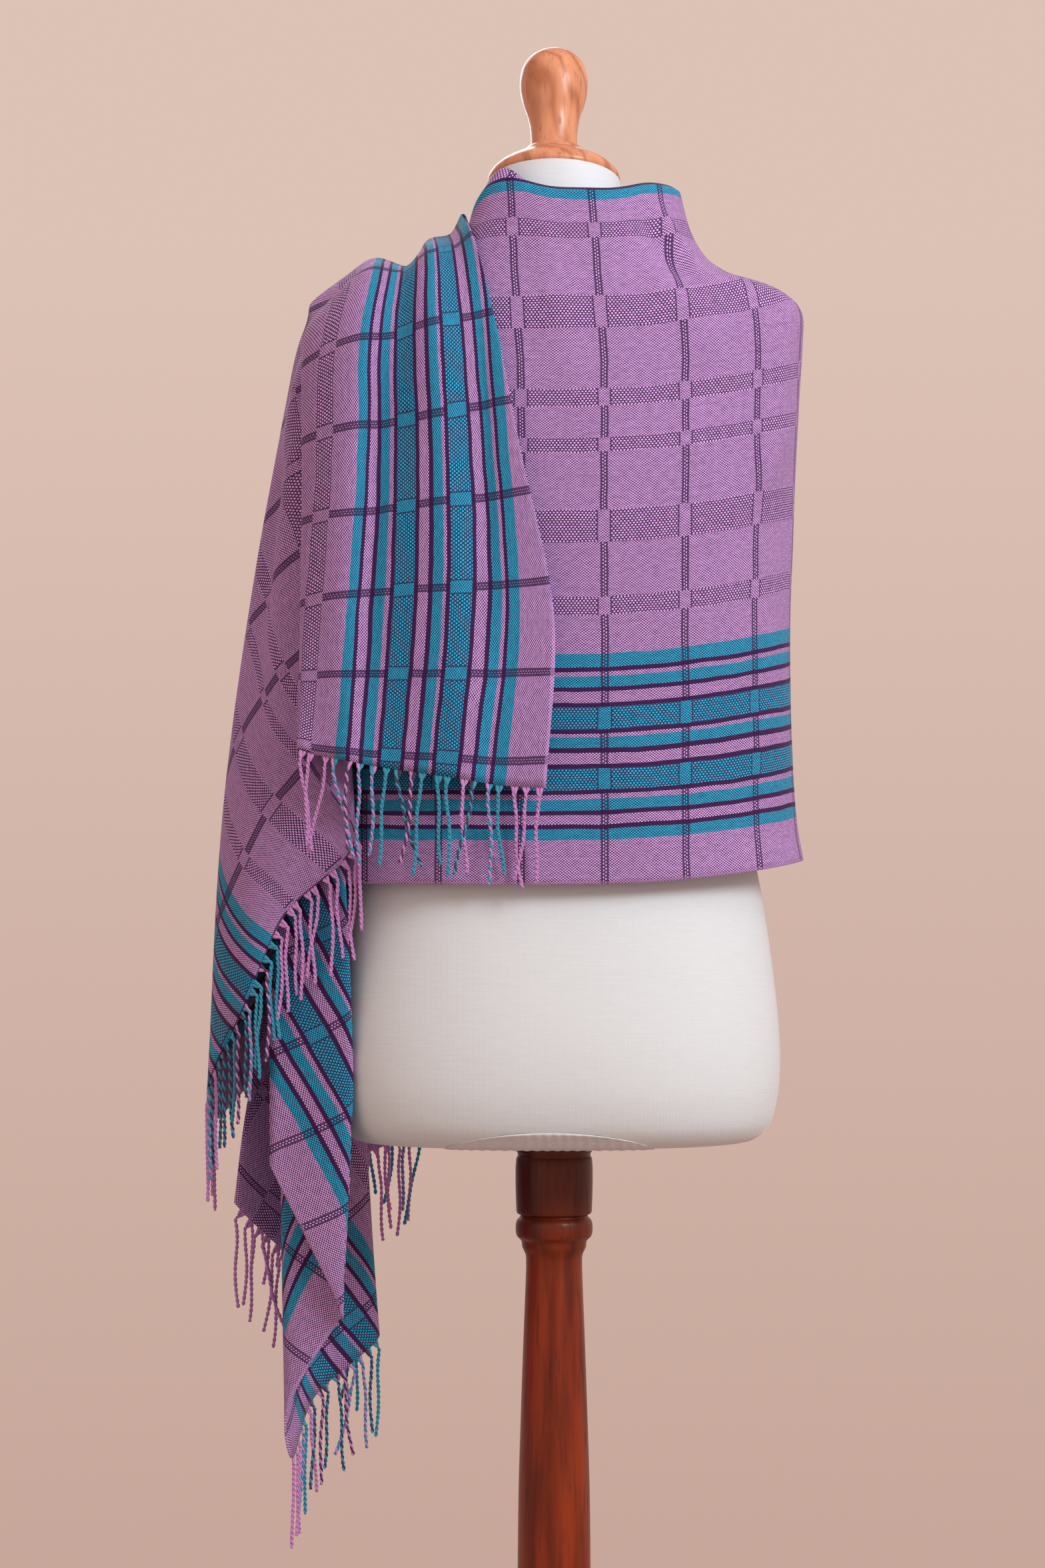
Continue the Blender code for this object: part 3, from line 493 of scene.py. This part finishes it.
def creased(name, grid, normals):
    """The sheet with its soft creases, which widen on their way and fade at both ends and at the seams."""
    rise = np.zeros(grid.shape[:2])
    for up0, run0, up1, run1, height, narrow, wide in CREASES[name]:
        start, line = np.array((up0, run0), float), np.array((up1 - up0, run1 - run0), float)
        t = np.clip(((grid[..., 3:] - start) @ line) / (line @ line), 0, 1)
        gap = np.linalg.norm(grid[..., 3:] - start - t[..., None] * line, axis=-1)
        width = narrow + (wide - narrow) * t
        rise += height * np.exp(-((gap / width) ** 2)) * np.sin(np.pi * (0.06 + 0.88 * t))
    down, over = np.linspace(0, 1, len(grid))[:, None], np.linspace(0, 1, grid.shape[1])
    free = np.clip(over * 8, 0, 1) * np.clip((1 - over) * 8 if name == "front_wrap" else 1, 0, 1)
    free = free * np.clip((1 - down) * 8 if name == "throw" else 1, 0, 1)
    return np.dstack([grid[..., :3] + normals * (rise * free)[..., None], grid[..., 3:]])


def new_object(name, data):
    obj = bpy.data.objects.new(name, data)
    bpy.context.scene.collection.objects.link(obj)
    return obj


def new_mesh(name, points, faces, materials, kinds=None, uvs=None):
    """A new object from points in millimetres, with its cloth coordinates in metres."""
    mesh = bpy.data.meshes.new(name)
    mesh.from_pydata((np.asarray(points, float) * MM).tolist(), [], faces)
    for material in materials:
        mesh.materials.append(material)
    if kinds is not None:
        mesh.polygons.foreach_set("material_index", kinds)
    if uvs is not None:
        layer = mesh.uv_layers.new(name="cloth")
        corners = np.empty(len(mesh.loops), np.int32)
        mesh.loops.foreach_get("vertex_index", corners)
        layer.data.foreach_set("uv", (np.asarray(uvs, float)[corners] * MM).astype(np.float32).ravel())
    mesh.shade_smooth()
    mesh.update()
    return new_object(name, mesh)


def stand_in(piece, node):
    """The piece takes the place of this node of the frame."""
    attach(piece, "root")
    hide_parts(node)


def facing_out(points, faces, tested=None):
    """The faces turned to look outwards, judged by the volume inside them or inside the first ones."""
    volume = 0.0
    for face in faces[:tested]:
        for k in range(1, len(face) - 1):
            volume += np.dot(points[face[0]], np.cross(points[face[k]], points[face[k + 1]]))
    return [face[::-1] for face in faces] if volume < 0 else faces


def add_wall(name, grid, normals, material, thickness=CLOTH_THICKNESS):
    """A sheet as a closed shell of the cloth's thickness."""
    rows, columns = grid.shape[:2]
    offset = normals * thickness / 2
    points = np.concatenate([grid[..., :3] + offset, grid[..., :3] - offset]).reshape(-1, 3)
    uvs = np.concatenate([grid[..., 3:5]] * 2).reshape(-1, 2)
    far = rows * columns
    index = np.arange(far).reshape(rows, columns)
    here, below = index[:-1], index[1:]
    quads = np.dstack([here[:, :-1], below[:, :-1], below[:, 1:], here[:, 1:]]).reshape(-1, 4)
    edge = np.concatenate([index[0, :-1], index[:-1, -1], index[-1, :0:-1], index[:0:-1, 0]]).tolist()
    faces = quads.tolist() + (quads[:, ::-1] + far).tolist()
    faces += [(a, b, b + far, a + far) for a, b in zip(edge, edge[1:] + edge[:1])]
    return new_mesh(name, points, facing_out(points, faces), [material], uvs=uvs)


def strand_colours(up):
    """The yarns of a twisted strand's two plies, which come from the stripes where it starts."""
    names, found = list(FRINGE_YARNS), []
    for place in (up - 2.6, up + 2.6):
        yarn = 0
        for start in BORDER_STARTS:
            edge = start
            for name, width in BORDER:
                if edge <= place < edge + width:
                    yarn = names.index("teal" if name == "honeycomb" else name)
                edge += width
        found.append(yarn)
    return found


def strand_path(start, fall, level, out, strand, sway):
    """The middle line of a strand: on from the cloth for a little, then down, drifting its own way."""
    run = np.linspace(0, STRAND_LENGTH * (1 + 0.07 * math.sin(3.7 * strand)), STRAND_RINGS)
    ease = eased(np.clip(run / 15, 0, 1))[:, None]
    low = np.maximum(run - 8, 0)
    share = (low / 66)[:, None]
    drift = 7.0 * math.sin(1.9 * strand) * math.sin(0.37 * strand + 1)
    drift = (drift + 11 * math.sin(2.6 * strand + 1) ** 7) * sway
    curl = 1.5 * np.sin(low / 13 + 2.1 * strand)[:, None] * np.minimum(share * 3, 1)
    forward = 1.2 + 0.9 * math.cos(2.3 * strand)
    hang = start + fall * 8 - low[:, None] * np.array([0, 0, 1.0])
    hang = hang + level * (drift * share**1.3 + curl) + out * forward * share * sway
    return run, (1 - ease) * (start + fall * run[:, None]) + ease * hang


def add_fringe(name, cloth, outward, normals, sway, materials):
    """Twisted strands along a hem, each gathered from the cloth's own warp at its root."""
    hem, ups = cloth[:, :3], cloth[:, 3]
    distance = np.concatenate([[0], np.cumsum(np.linalg.norm(np.diff(hem, axis=0), axis=1))])
    count = round(distance[-1] / STRAND_SPACING)
    centres = (np.arange(count) + 0.5) * distance[-1] / count
    centres += 1.6 * np.sin(2.9 * np.arange(count)) * distance[-1] / count / 9.9

    def at(values, places):
        return np.stack([np.interp(places, distance, column) for column in values.T], axis=-1)

    line, fall, side = at(hem, centres), unit(at(outward, centres)), unit(at(normals, centres))
    along = at(hem, centres + 0.5) - at(hem, centres - 0.5)
    up = np.interp(centres, distance, ups)
    points, faces, kinds, uvs = [], [], [], []
    angles = np.arange(PLY_SIDES) * 2 * math.pi / PLY_SIDES
    ring = np.arange(PLY_SIDES)
    after = (ring + 1) % PLY_SIDES
    quads = np.stack([ring, ring + PLY_SIDES, after + PLY_SIDES, after], axis=-1)
    for strand in range(count):
        level = unit(np.array([along[strand, 0], along[strand, 1], 0.0]))
        out = np.array([-level[1], level[0], 0.0])
        if np.dot(out, side[strand]) < 0:
            out = -out
        run, path = strand_path(line[strand] - fall[strand] * 0.8, fall[strand], level, out, strand, sway)
        heading = tangents(path)
        wide_way = unit(np.cross(heading, out))
        deep_way = unit(np.cross(wide_way, heading))
        gather = eased(np.clip(run / ROOT_LENGTH, 0, 1))
        thick = PLY_RADIUS * (1 + 0.08 * np.sin(run / 3.1 + strand))
        thick[-1] *= 0.5
        pair = strand_colours(up[strand])
        for ply in range(2):
            spin = 2.4 * strand + math.pi * ply + 2 * math.pi * run / TWIST_PITCH
            spread = (1 if ply else -1) * STRAND_SPACING * 0.17
            x = (1 - gather) * spread + gather * PLY_OFFSET * np.cos(spin)
            y = gather * PLY_OFFSET * np.sin(spin)
            wide = (1 - gather) * STRAND_SPACING * 0.16 + gather * thick
            deep = (1 - gather) * 0.6 + gather * thick
            middle = path + wide_way * x[:, None] + deep_way * y[:, None]
            rings = middle[:, None] + wide_way[:, None] * (wide[:, None] * np.cos(angles))[..., None]
            rings = rings + deep_way[:, None] * (deep[:, None] * np.sin(angles))[..., None]
            base = len(points) * PLY_SIDES * STRAND_RINGS
            points.append(rings.reshape(-1, 3))
            turn, way = np.broadcast_arrays(angles / (2 * math.pi) * 6, run[:, None])
            uvs.append(np.dstack([turn, way]).reshape(-1, 2))
            for step in range(STRAND_RINGS - 1):
                faces += (quads + base + step * PLY_SIDES).tolist()
            last = base + (STRAND_RINGS - 1) * PLY_SIDES
            faces.append((base + ring).tolist())
            faces.append((last + ring[::-1]).tolist())
            kinds += [pair[ply]] * (len(faces) - len(kinds))
    points = np.concatenate(points)
    faces = facing_out(points, faces, (STRAND_RINGS - 1) * PLY_SIDES + 2)
    piece = new_mesh(name + "_strands", points, faces, materials, kinds, np.concatenate(uvs))
    stand_in(piece, name)
    return piece


def add_shawl(cloth, yarns):
    back = back_grid()
    throw = throw_grid()
    front = front_grid(back, throw)
    tail = tail_grid()
    grids = {"back_panel": back, "front_wrap": front, "throw": throw, "tail": tail}
    facing = {"back_panel": 1, "front_wrap": -1, "throw": -1, "tail": 1}
    for name, grid in grids.items():
        grid[...] = creased(name, grid, facing[name] * normals_of(grid))
    normals = {name: facing[name] * normals_of(grid) for name, grid in grids.items()}
    joined = normals["front_wrap"][LIP_STEPS * len(LIP_EDGE) :, -1]
    crest = unit(normals["throw"][:, 0] + joined[: len(throw)])
    edge = unit(normals["throw"][-1, 1:] + joined[len(throw) :])
    normals["throw"][:, 0] = joined[: len(throw)] = crest
    normals["throw"][-1, 1:] = joined[len(throw) :] = edge
    for name in ("back_panel", "front_wrap"):
        normals[name][:, 0, 1] = 0
        normals[name][:, 0] = unit(normals[name][:, 0])
    walls = {name: add_wall(name + "_cloth", grid, normals[name], cloth) for name, grid in grids.items()}
    fringes = {"throw": [], "tail": []}
    for name, sheet, first, last, sway in FRINGES:
        folds, steps = (THROW_FOLDS, THROW_ACROSS) if sheet == "throw" else (TAIL_FOLDS, TAIL_ACROSS)
        grid = grids[sheet]
        names = [fold[0] for fold in folds]
        part = slice(names.index(first) * steps, names.index(last) * steps + 1)
        places = grid[..., :3]
        outward = -across(places[:, -1], normals[sheet][:, -1], places[:, -2])
        sides = normals[sheet][part, -1]
        fringes[sheet].append(add_fringe(name, grid[part, -1], outward[part], sides, sway, yarns))
    for name, wall in walls.items():
        stand_in(wall, name)


def add_turned(name, node, profile, material, tilt=0.0, height=0.0, rise_from=0.0):
    """A turned piece whose axis leans forward by tilt from its foot at this height."""
    profile = smooth(np.array(profile, float), 4) if name != "stand_base" else np.array(profile, float)
    points = []
    for radius, rise in profile:
        rise += rise_from
        for k in range(TURNED_SIDES):
            angle = k * 2 * math.pi / TURNED_SIDES
            x, y = radius * math.cos(angle), radius * math.sin(angle)
            forward = y * math.cos(tilt) + rise * math.sin(tilt)
            points.append((x, forward, height - y * math.sin(tilt) + rise * math.cos(tilt)))
    faces = facing_out(points, ring_faces(len(profile), TURNED_SIDES))
    piece = new_mesh(name, points, faces, [material])
    piece.data.set_sharp_from_angle(angle=SHARP_ANGLE)
    stand_in(piece, node)


def ring_faces(rings, sides):
    faces = [tuple(range(sides - 1, -1, -1)), tuple((rings - 1) * sides + k for k in range(sides))]
    for i in range(rings - 1):
        for k in range(sides):
            here, after = i * sides + k, i * sides + (k + 1) % sides
            faces.append((here, after, after + sides, here + sides))
    return faces


def add_form(material):
    rings = []
    angles = [k * 2 * math.pi / FORM_SIDES for k in range(FORM_SIDES)]
    for height, half_width, back, front in FORM_RINGS:
        places = [rounded(angle, half_width, back if angle < math.pi else front) for angle in angles]
        rings.append([(x, y, height) for x, y in places])
    places = [(NECK_RADIUS * math.cos(angle), -NECK_RADIUS * math.sin(angle)) for angle in angles]
    rings.append([(x, y * math.cos(NECK_TILT), NECK_TOP - y * math.sin(NECK_TILT)) for x, y in places])
    heights = [ring[0] for ring in FORM_RINGS] + [NECK_TOP]
    steps = [max(2, round((b - a) / 6)) for a, b in zip(heights, heights[1:])]
    grid = smooth(np.array(rings), steps)
    inward = np.array([-1.0, -1.0, 0.0]) * unit(grid * np.array([1.0, 1.0, 0.0]))
    grid = grid + inward * FORM_SHRINK
    points = grid.reshape(-1, 3)
    faces = facing_out(points, ring_faces(len(grid), FORM_SIDES))
    piece = new_mesh("dress_form", points, faces, [material])
    piece.data.set_sharp_from_angle(angle=FORM_SHARP_ANGLE)
    stand_in(piece, "form_torso")


def add_gathers(material):
    """The gathered cover under an arched seam, low at the back of the form."""
    heights = [ring[0] for ring in FORM_RINGS]
    places = np.linspace(SEAM_LEFT, SEAM_RIGHT, 170)
    middle, half = (SEAM_LEFT + SEAM_RIGHT) / 2, (SEAM_RIGHT - SEAM_LEFT) / 2
    rows = []
    for step in np.linspace(0, 1, 22):
        row = []
        for x in places:
            arch = SEAM_LOW + SEAM_RISE * (1 - ((x - middle) / half) ** 2) ** 0.8
            down = min(step / 0.75, 1)
            z = arch - (arch - heights[0] - 0.5) * down
            half_width = np.interp(z, heights, [ring[1] for ring in FORM_RINGS])
            depth = np.interp(z, heights, [ring[2] for ring in FORM_RINGS])
            y = -depth * (1 - abs(x / half_width) ** SQUARENESS) ** (1 / SQUARENESS)
            edge = min(1.0, (half - abs(x - middle)) / 8)
            seam = 0.9 * math.exp(-(((step - 0.05) / 0.05) ** 2))
            wave = math.sin(2 * math.pi * x / GATHER_PITCH + 0.8 * math.sin(x / 13))
            gather = (0.45 + 0.45 * wave) * min(step * 6, 1)
            out = 0.15 + edge * (seam + gather * (1 - 0.6 * max(step - 0.75, 0) * 4))
            row.append((x, y - out, z))
            if step > 0.75:
                inward = (step - 0.75) / 0.25
                row[-1] = (x, y + 16 * inward, heights[0] - 0.2 - out * 0.6)
        rows.append(row)
    grid = np.array(rows)
    sheet = np.dstack([grid, grid[..., 2], grid[..., 0]])
    piece = add_wall("form_gathers", sheet, normals_of(grid), material, 0.5)
    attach(piece, "root")


class Nodes:
    """Short ways to add nodes to a material or the world and link them."""

    def __init__(self, owner, shader="Principled BSDF"):
        owner.use_nodes = True
        self.tree = owner.node_tree
        self.shader = self.tree.nodes[shader]

    def add(self, kind, inputs=(), **settings):
        node = self.tree.nodes.new(kind)
        for key, value in settings.items():
            setattr(node, key, value)
        for place, value in inputs:
            self.feed(node.inputs[place], value)
        return node

    def feed(self, socket, value):
        if isinstance(value, bpy.types.NodeSocket):
            self.tree.links.new(value, socket)
        else:
            socket.default_value = value

    def math(self, operation, *values, clamp=False):
        return self.add("ShaderNodeMath", enumerate(values), operation=operation, use_clamp=clamp).outputs[0]

    def vector_math(self, operation, *inputs):
        return self.add("ShaderNodeVectorMath", inputs, operation=operation).outputs[0]

    def plus(self, a, b):
        return self.math("ADD", a, b)

    def minus(self, a, b):
        return self.math("SUBTRACT", a, b)

    def times(self, a, b):
        return self.math("MULTIPLY", a, b)

    def mix(self, factor, a, b, blend="MIX"):
        node = self.add("ShaderNodeMix", data_type="RGBA", blend_type=blend)
        self.feed(node.inputs["Factor"], factor)
        colours = [socket for socket in node.inputs if socket.type == "RGBA"]
        for socket, value in zip(colours, (a, b)):
            self.feed(socket, (*value, 1) if isinstance(value, tuple) and len(value) == 3 else value)
        return next(socket for socket in node.outputs if socket.type == "RGBA")

    def ramp(self, factor, stops):
        node = self.add("ShaderNodeValToRGB", [(0, factor)])
        ramp = node.color_ramp
        ramp.interpolation = "CONSTANT"
        for number, (place, colour) in enumerate(stops):
            element = ramp.elements[number] if number < 2 else ramp.elements.new(place)
            element.position = place
            element.color = colour if len(colour) == 4 else (*colour, 1)
        return node.outputs

    def step(self, value, low, high):
        """0 below low, 1 above high, smooth between."""
        inputs = [(0, value), (1, low), (2, high), (3, 0.0), (4, 1.0)]
        return self.add("ShaderNodeMapRange", inputs, interpolation_type="SMOOTHSTEP").outputs[0]

    def noise(self, vector, scale, detail=2.0):
        inputs = [("Vector", vector), ("Scale", scale), ("Detail", detail)]
        return self.add("ShaderNodeTexNoise", inputs).outputs[0]

    def stretched(self, vector, x, y, z):
        return self.add("ShaderNodeMapping", [("Vector", vector), ("Scale", (x, y, z))]).outputs[0]

    def tinted(self, colour, tone):
        """The colour made lighter or darker by this number."""
        grey = self.add("ShaderNodeCombineColor", [(0, tone), (1, tone), (2, tone)]).outputs[0]
        return self.mix(1.0, colour, grey, "MULTIPLY")

    def set(self, **values):
        """Give the shader these inputs, with underscores for the spaces in their names."""
        for name, value in values.items():
            self.feed(self.shader.inputs[name.replace("_", " ")], value)

    def bump(self, height, distance, strength=1.0):
        inputs = [("Height", height), ("Distance", distance), ("Strength", strength)]
        self.set(Normal=self.add("ShaderNodeBump", inputs).outputs[0])


def dots(n, up, along, row, pitch, length, height):
    """Floats of the weave: rows of rounded dots, every other row moved half a pitch along."""
    rows = n.math("DIVIDE", up, row)
    number = n.math("FLOOR", rows)
    shift = n.times(n.math("MODULO", number, 2.0), 0.5)
    across_row = n.minus(n.minus(rows, number), 0.5)
    columns = n.plus(n.math("DIVIDE", along, pitch), shift)
    in_column = n.minus(n.math("FRACT", columns), 0.5)
    x = n.math("DIVIDE", in_column, length)
    y = n.math("DIVIDE", across_row, height)
    far = n.plus(n.times(x, x), n.times(y, y))
    return n.math("SQRT", far)


def cloth_material():
    material = bpy.data.materials.new("handwoven_cloth")
    n = Nodes(material)
    uv = n.add("ShaderNodeUVMap", uv_map="cloth").outputs[0]
    wobble = n.add("ShaderNodeTexNoise", [("Vector", uv), ("Scale", 22.0), ("Detail", 2.0)]).outputs[1]
    wobble = n.vector_math("SUBTRACT", (0, wobble), (1, (0.5, 0.5, 0.5)))
    wobble = n.vector_math("SCALE", (0, wobble), (3, 0.0032))
    uv = n.vector_math("ADD", (0, uv), (1, wobble))
    split = n.add("ShaderNodeSeparateXYZ", [(0, uv)])
    up = n.times(split.outputs[0], 1000.0)
    along = n.times(split.outputs[1], 1000.0)

    inside, places = [], []
    for start in BORDER_STARTS:
        place = n.math("DIVIDE", n.minus(up, start), BORDER_WIDTH)
        within = n.times(n.math("GREATER_THAN", place, 0.0), n.math("LESS_THAN", place, 1.0))
        inside.append(within)
        places.append(n.times(place, within))
    in_border = n.plus(*inside)
    stops, edge = [], 0.0
    for yarn, width in BORDER:
        stops.append((edge / BORDER_WIDTH, (*YARNS[yarn], 1.0 if yarn == "honeycomb" else 0.0)))
        edge += width
    stripe, stripe_float = n.ramp(n.plus(*places), stops)
    bands = [(0.0, (0, 0, 0))]
    for middle, width in BANDS:
        bands.append(((middle - width / 2) / CLOTH_WIDTH, (1, 1, 1)))
        bands.append(((middle + width / 2) / CLOTH_WIDTH, (0, 0, 0)))
    band = n.ramp(n.math("DIVIDE", up, CLOTH_WIDTH), bands)[0]
    yarn = n.mix(in_border, YARNS["lilac"], stripe)
    floats = n.math("MAXIMUM", n.times(stripe_float, in_border), band)
    plain_here = n.minus(1.0, floats)

    # Threads across: two rows of small floats between dark ones, and plain cloth where they meet a band
    shift = n.times(n.math("MAXIMUM", n.minus(up, 420.0), 0.0), 10 / 150)
    place = n.plus(n.minus(along, LINE_START), shift)
    place = n.math("WRAP", place, LINE_STEP / 2, -LINE_STEP / 2)
    gap = n.math("ABSOLUTE", place)
    in_line = n.times(n.math("LESS_THAN", gap, LINE_FLOATS), plain_here)
    near = n.times(n.math("LESS_THAN", gap, LINE_DARK), plain_here)
    crossing = n.times(n.math("LESS_THAN", gap, CROSSING), floats)
    around = n.times(n.math("LESS_THAN", gap, CROSSING_DARK), floats)
    dark = n.minus(n.plus(near, around), n.plus(in_line, crossing))
    honeycomb = n.minus(floats, crossing)

    plain = dots(n, up, along, *PLAIN_FLOATS)
    honey = dots(n, up, along, *HONEYCOMB_FLOATS)
    crosswise = dots(n, place, up, *CROSSWISE_FLOATS)
    far = n.add("ShaderNodeMix", [(0, honeycomb), (2, plain), (3, honey)]).outputs[0]
    far = n.add("ShaderNodeMix", [(0, in_line), (2, far), (3, crosswise)]).outputs[0]
    uneven = n.noise(n.stretched(uv, 380.0, 160.0, 1.0), 1.0)
    far = n.plus(far, n.times(n.minus(uneven, 0.5), 0.5))
    dot = n.minus(1.0, n.step(far, 0.82, 1.06))
    faint = n.step(n.math("ABSOLUTE", along), FADED_FROM, FADED_TO)
    faint = n.times(faint, n.times(in_line, 0.6))
    dot = n.times(dot, n.minus(1.0, n.plus(n.times(dark, 0.92), faint)))
    from_middle = n.math("ABSOLUTE", n.minus(up, CLOTH_WIDTH / 2))
    selvedge = n.math("GREATER_THAN", from_middle, CLOTH_WIDTH / 2 - SELVEDGE)
    dot = n.math("MAXIMUM", dot, n.times(selvedge, 0.3))

    streak = n.noise(n.stretched(uv, 900.0, 14.0, 1.0), 1.0)
    patch = n.noise(uv, 9.0)
    tone = n.plus(n.times(streak, 0.5), n.times(patch, 0.22))
    tone = n.plus(tone, 0.66)
    behind = n.mix(0.05, WEFT, yarn)
    n.set(Base_Color=n.mix(dot, behind, n.tinted(yarn, tone)), Specular_IOR_Level=0.2)
    n.set(Roughness=0.82, Sheen_Weight=0.12, Sheen_Roughness=0.4, Sheen_Tint=(0.9, 0.75, 0.95, 1))
    n.bump(dot, 0.0004, 0.8)
    return material


def yarn_material(name, colour):
    material = bpy.data.materials.new("yarn_" + name)
    n = Nodes(material)
    uv = n.add("ShaderNodeUVMap", uv_map="cloth").outputs[0]
    fibre = n.noise(n.stretched(uv, 900.0, 260.0, 1.0), 1.0, 3.0)
    tone = n.plus(n.times(fibre, 0.7), 0.6)
    n.set(Base_Color=n.tinted(colour, tone), Roughness=0.8, Sheen_Weight=0.3)
    n.bump(fibre, 0.0003)
    return material


def jersey_material(name, colour):
    material = bpy.data.materials.new(name)
    n = Nodes(material)
    place = n.add("ShaderNodeTexCoord").outputs["Object"]
    inputs = [("Vector", place), ("Scale", 330.0), ("Distortion", 1.5), ("Detail Scale", 3.0)]
    knit = n.add("ShaderNodeTexWave", inputs, bands_direction="X").outputs[1]
    slub = n.noise(n.stretched(place, 60.0, 60.0, 700.0), 1.0, 3.0)
    soft = n.noise(place, 7.0)
    tone = n.plus(n.times(slub, 0.10), n.times(soft, 0.05))
    colour = n.tinted(colour, n.plus(tone, 0.9))
    n.set(Base_Color=colour, Roughness=0.62, Sheen_Weight=0.35, Sheen_Roughness=0.35)
    n.bump(n.plus(knit, n.times(slub, 1.5)), 0.00012, 0.6)
    return material


def wood_material(name, light, dark, roughness, painted_shade=None, figure=0.0):
    material = bpy.data.materials.new(name)
    n = Nodes(material)
    place = n.add("ShaderNodeTexCoord").outputs["Object"]
    grain = n.noise(n.stretched(place, 26.0, 26.0, 2.2), 3.2, 6.0)
    pores = n.noise(n.stretched(place, 420.0, 420.0, 26.0), 1.0, 3.0)
    shade = n.step(grain, 0.3, 0.72)
    if figure:
        inputs = [("Vector", n.stretched(place, 1.0, 1.0, 0.28)), ("Scale", 26.0)]
        inputs += [("Distortion", 7.0), ("Detail Scale", 1.4)]
        rings = n.add("ShaderNodeTexWave", inputs, bands_direction="DIAGONAL").outputs[1]
        shade = n.times(shade, 1.0 - figure / 2)
        shade = n.math("ADD", shade, n.times(n.math("POWER", rings, 3.0), figure), clamp=True)
    colour = n.mix(shade, light, dark)
    # Painted shade: the wood is made darker near its top, where the form above shades the pole
    if painted_shade:
        height = n.add("ShaderNodeSeparateXYZ", [(0, place)]).outputs[2]
        colour = n.mix(n.step(height, 0.69, 0.76), colour, n.mix(0.65, colour, painted_shade))
    pore = n.step(pores, 0.56, 0.72)
    colour = n.mix(n.times(pore, 0.45), colour, tuple(0.35 * value for value in dark))
    n.set(Base_Color=colour, Roughness=n.plus(n.times(pore, 0.25), roughness))
    n.set(Specular_IOR_Level=0.3, Coat_Weight=0.08, Coat_Roughness=0.18)
    n.bump(pores, 0.00015, 0.5)
    return material


def plain_material(name, colour):
    material = bpy.data.materials.new(name)
    n = Nodes(material)
    n.set(Base_Color=(*colour, 1), Roughness=0.9)
    return material


def add_light(name, place, target, size, power, colour):
    light = bpy.data.lights.new(name, "AREA")
    light.shape = "DISK"
    light.size = size
    light.energy = power
    light.color = colour
    obj = new_object(name, light)
    obj.location = place
    obj.rotation_euler = (Vector(target) - Vector(place)).to_track_quat("-Z", "Y").to_euler()


def add_studio():
    bpy.ops.mesh.primitive_circle_add(vertices=96, radius=FLOOR_RADIUS, fill_type="NGON", location=(0, 0, 0))
    floor = bpy.context.object
    floor.name = "floor"
    floor.data.materials.append(plain_material("floor", (0.42, 0.33, 0.29)))
    world = bpy.data.worlds.new("studio")
    n = Nodes(world, "Background")
    direction = n.add("ShaderNodeTexCoord").outputs["Generated"]
    rise = n.add("ShaderNodeSeparateXYZ", [(0, direction)]).outputs[2]
    fade = n.add("ShaderNodeValToRGB", [(0, n.plus(rise, 0.5))])
    n.set(Color=fade.outputs[0])
    for element, place, colour in zip(fade.color_ramp.elements, BACKDROP_PLACES, BACKDROP):
        element.position = place
        element.color = (*colour, 1)
    bpy.context.scene.world = world
    bpy.context.scene.view_settings.view_transform = "Standard"
    add_light("key", (1.9, -2.1, 2.7), (0, 0, 1.25), 1.2, 68, (0.90, 0.96, 1))
    add_light("top", (0.9, -1.3, 2.9), (0, 0, 1.6), 0.8, 7, (0.93, 0.96, 1))
    add_light("fill", (-2.3, -2.2, 1.7), (0, 0, 1.1), 1.8, 3, (0.88, 0.94, 1))
    add_light("rim", (-0.6, 2.4, 2.4), (0, 0, 1.2), 1.6, 24, (0.93, 0.96, 1))

    camera = bpy.data.cameras.new("camera")
    camera.sensor_width = 36
    camera.lens = CAMERA_LENS
    obj = new_object("camera", camera)
    obj.location = CAMERA_PLACE
    obj.rotation_euler = (math.pi / 2, 0, 0)
    bpy.context.scene.camera = obj


def main():
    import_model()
    add_studio()
    cloth = cloth_material()
    yarns = [yarn_material(name, colour) for name, colour in FRINGE_YARNS.items()]
    add_shawl(cloth, yarns)
    add_form(jersey_material("jersey_knit", (0.68, 0.735, 0.77)))
    add_gathers(jersey_material("jersey_seam", (0.65, 0.66, 0.69)))
    light_wood = wood_material("light_wood_grain", (0.70, 0.31, 0.17), (0.45, 0.16, 0.075), 0.3, figure=0.75)
    dark_wood = wood_material("dark_wood_grain", (0.27, 0.03, 0.002), (0.1, 0.009, 0.001), 0.4, POLE_TOP_PAINTED_SHADE)
    seat = NECK_TOP + SEAM_GAP
    add_turned("cap_disc", "neck_cap", CAP_PROFILE, light_wood, NECK_TILT, seat)
    knob_rise = CAP_PROFILE[-1][1] + SEAM_GAP
    add_turned("finial", "knob", KNOB_PROFILE, light_wood, NECK_TILT, seat, knob_rise)
    add_turned("stand_pole", "pole", POLE_PROFILE, dark_wood)
    add_turned("stand_base", "base", BASE_PROFILE, dark_wood)


main()
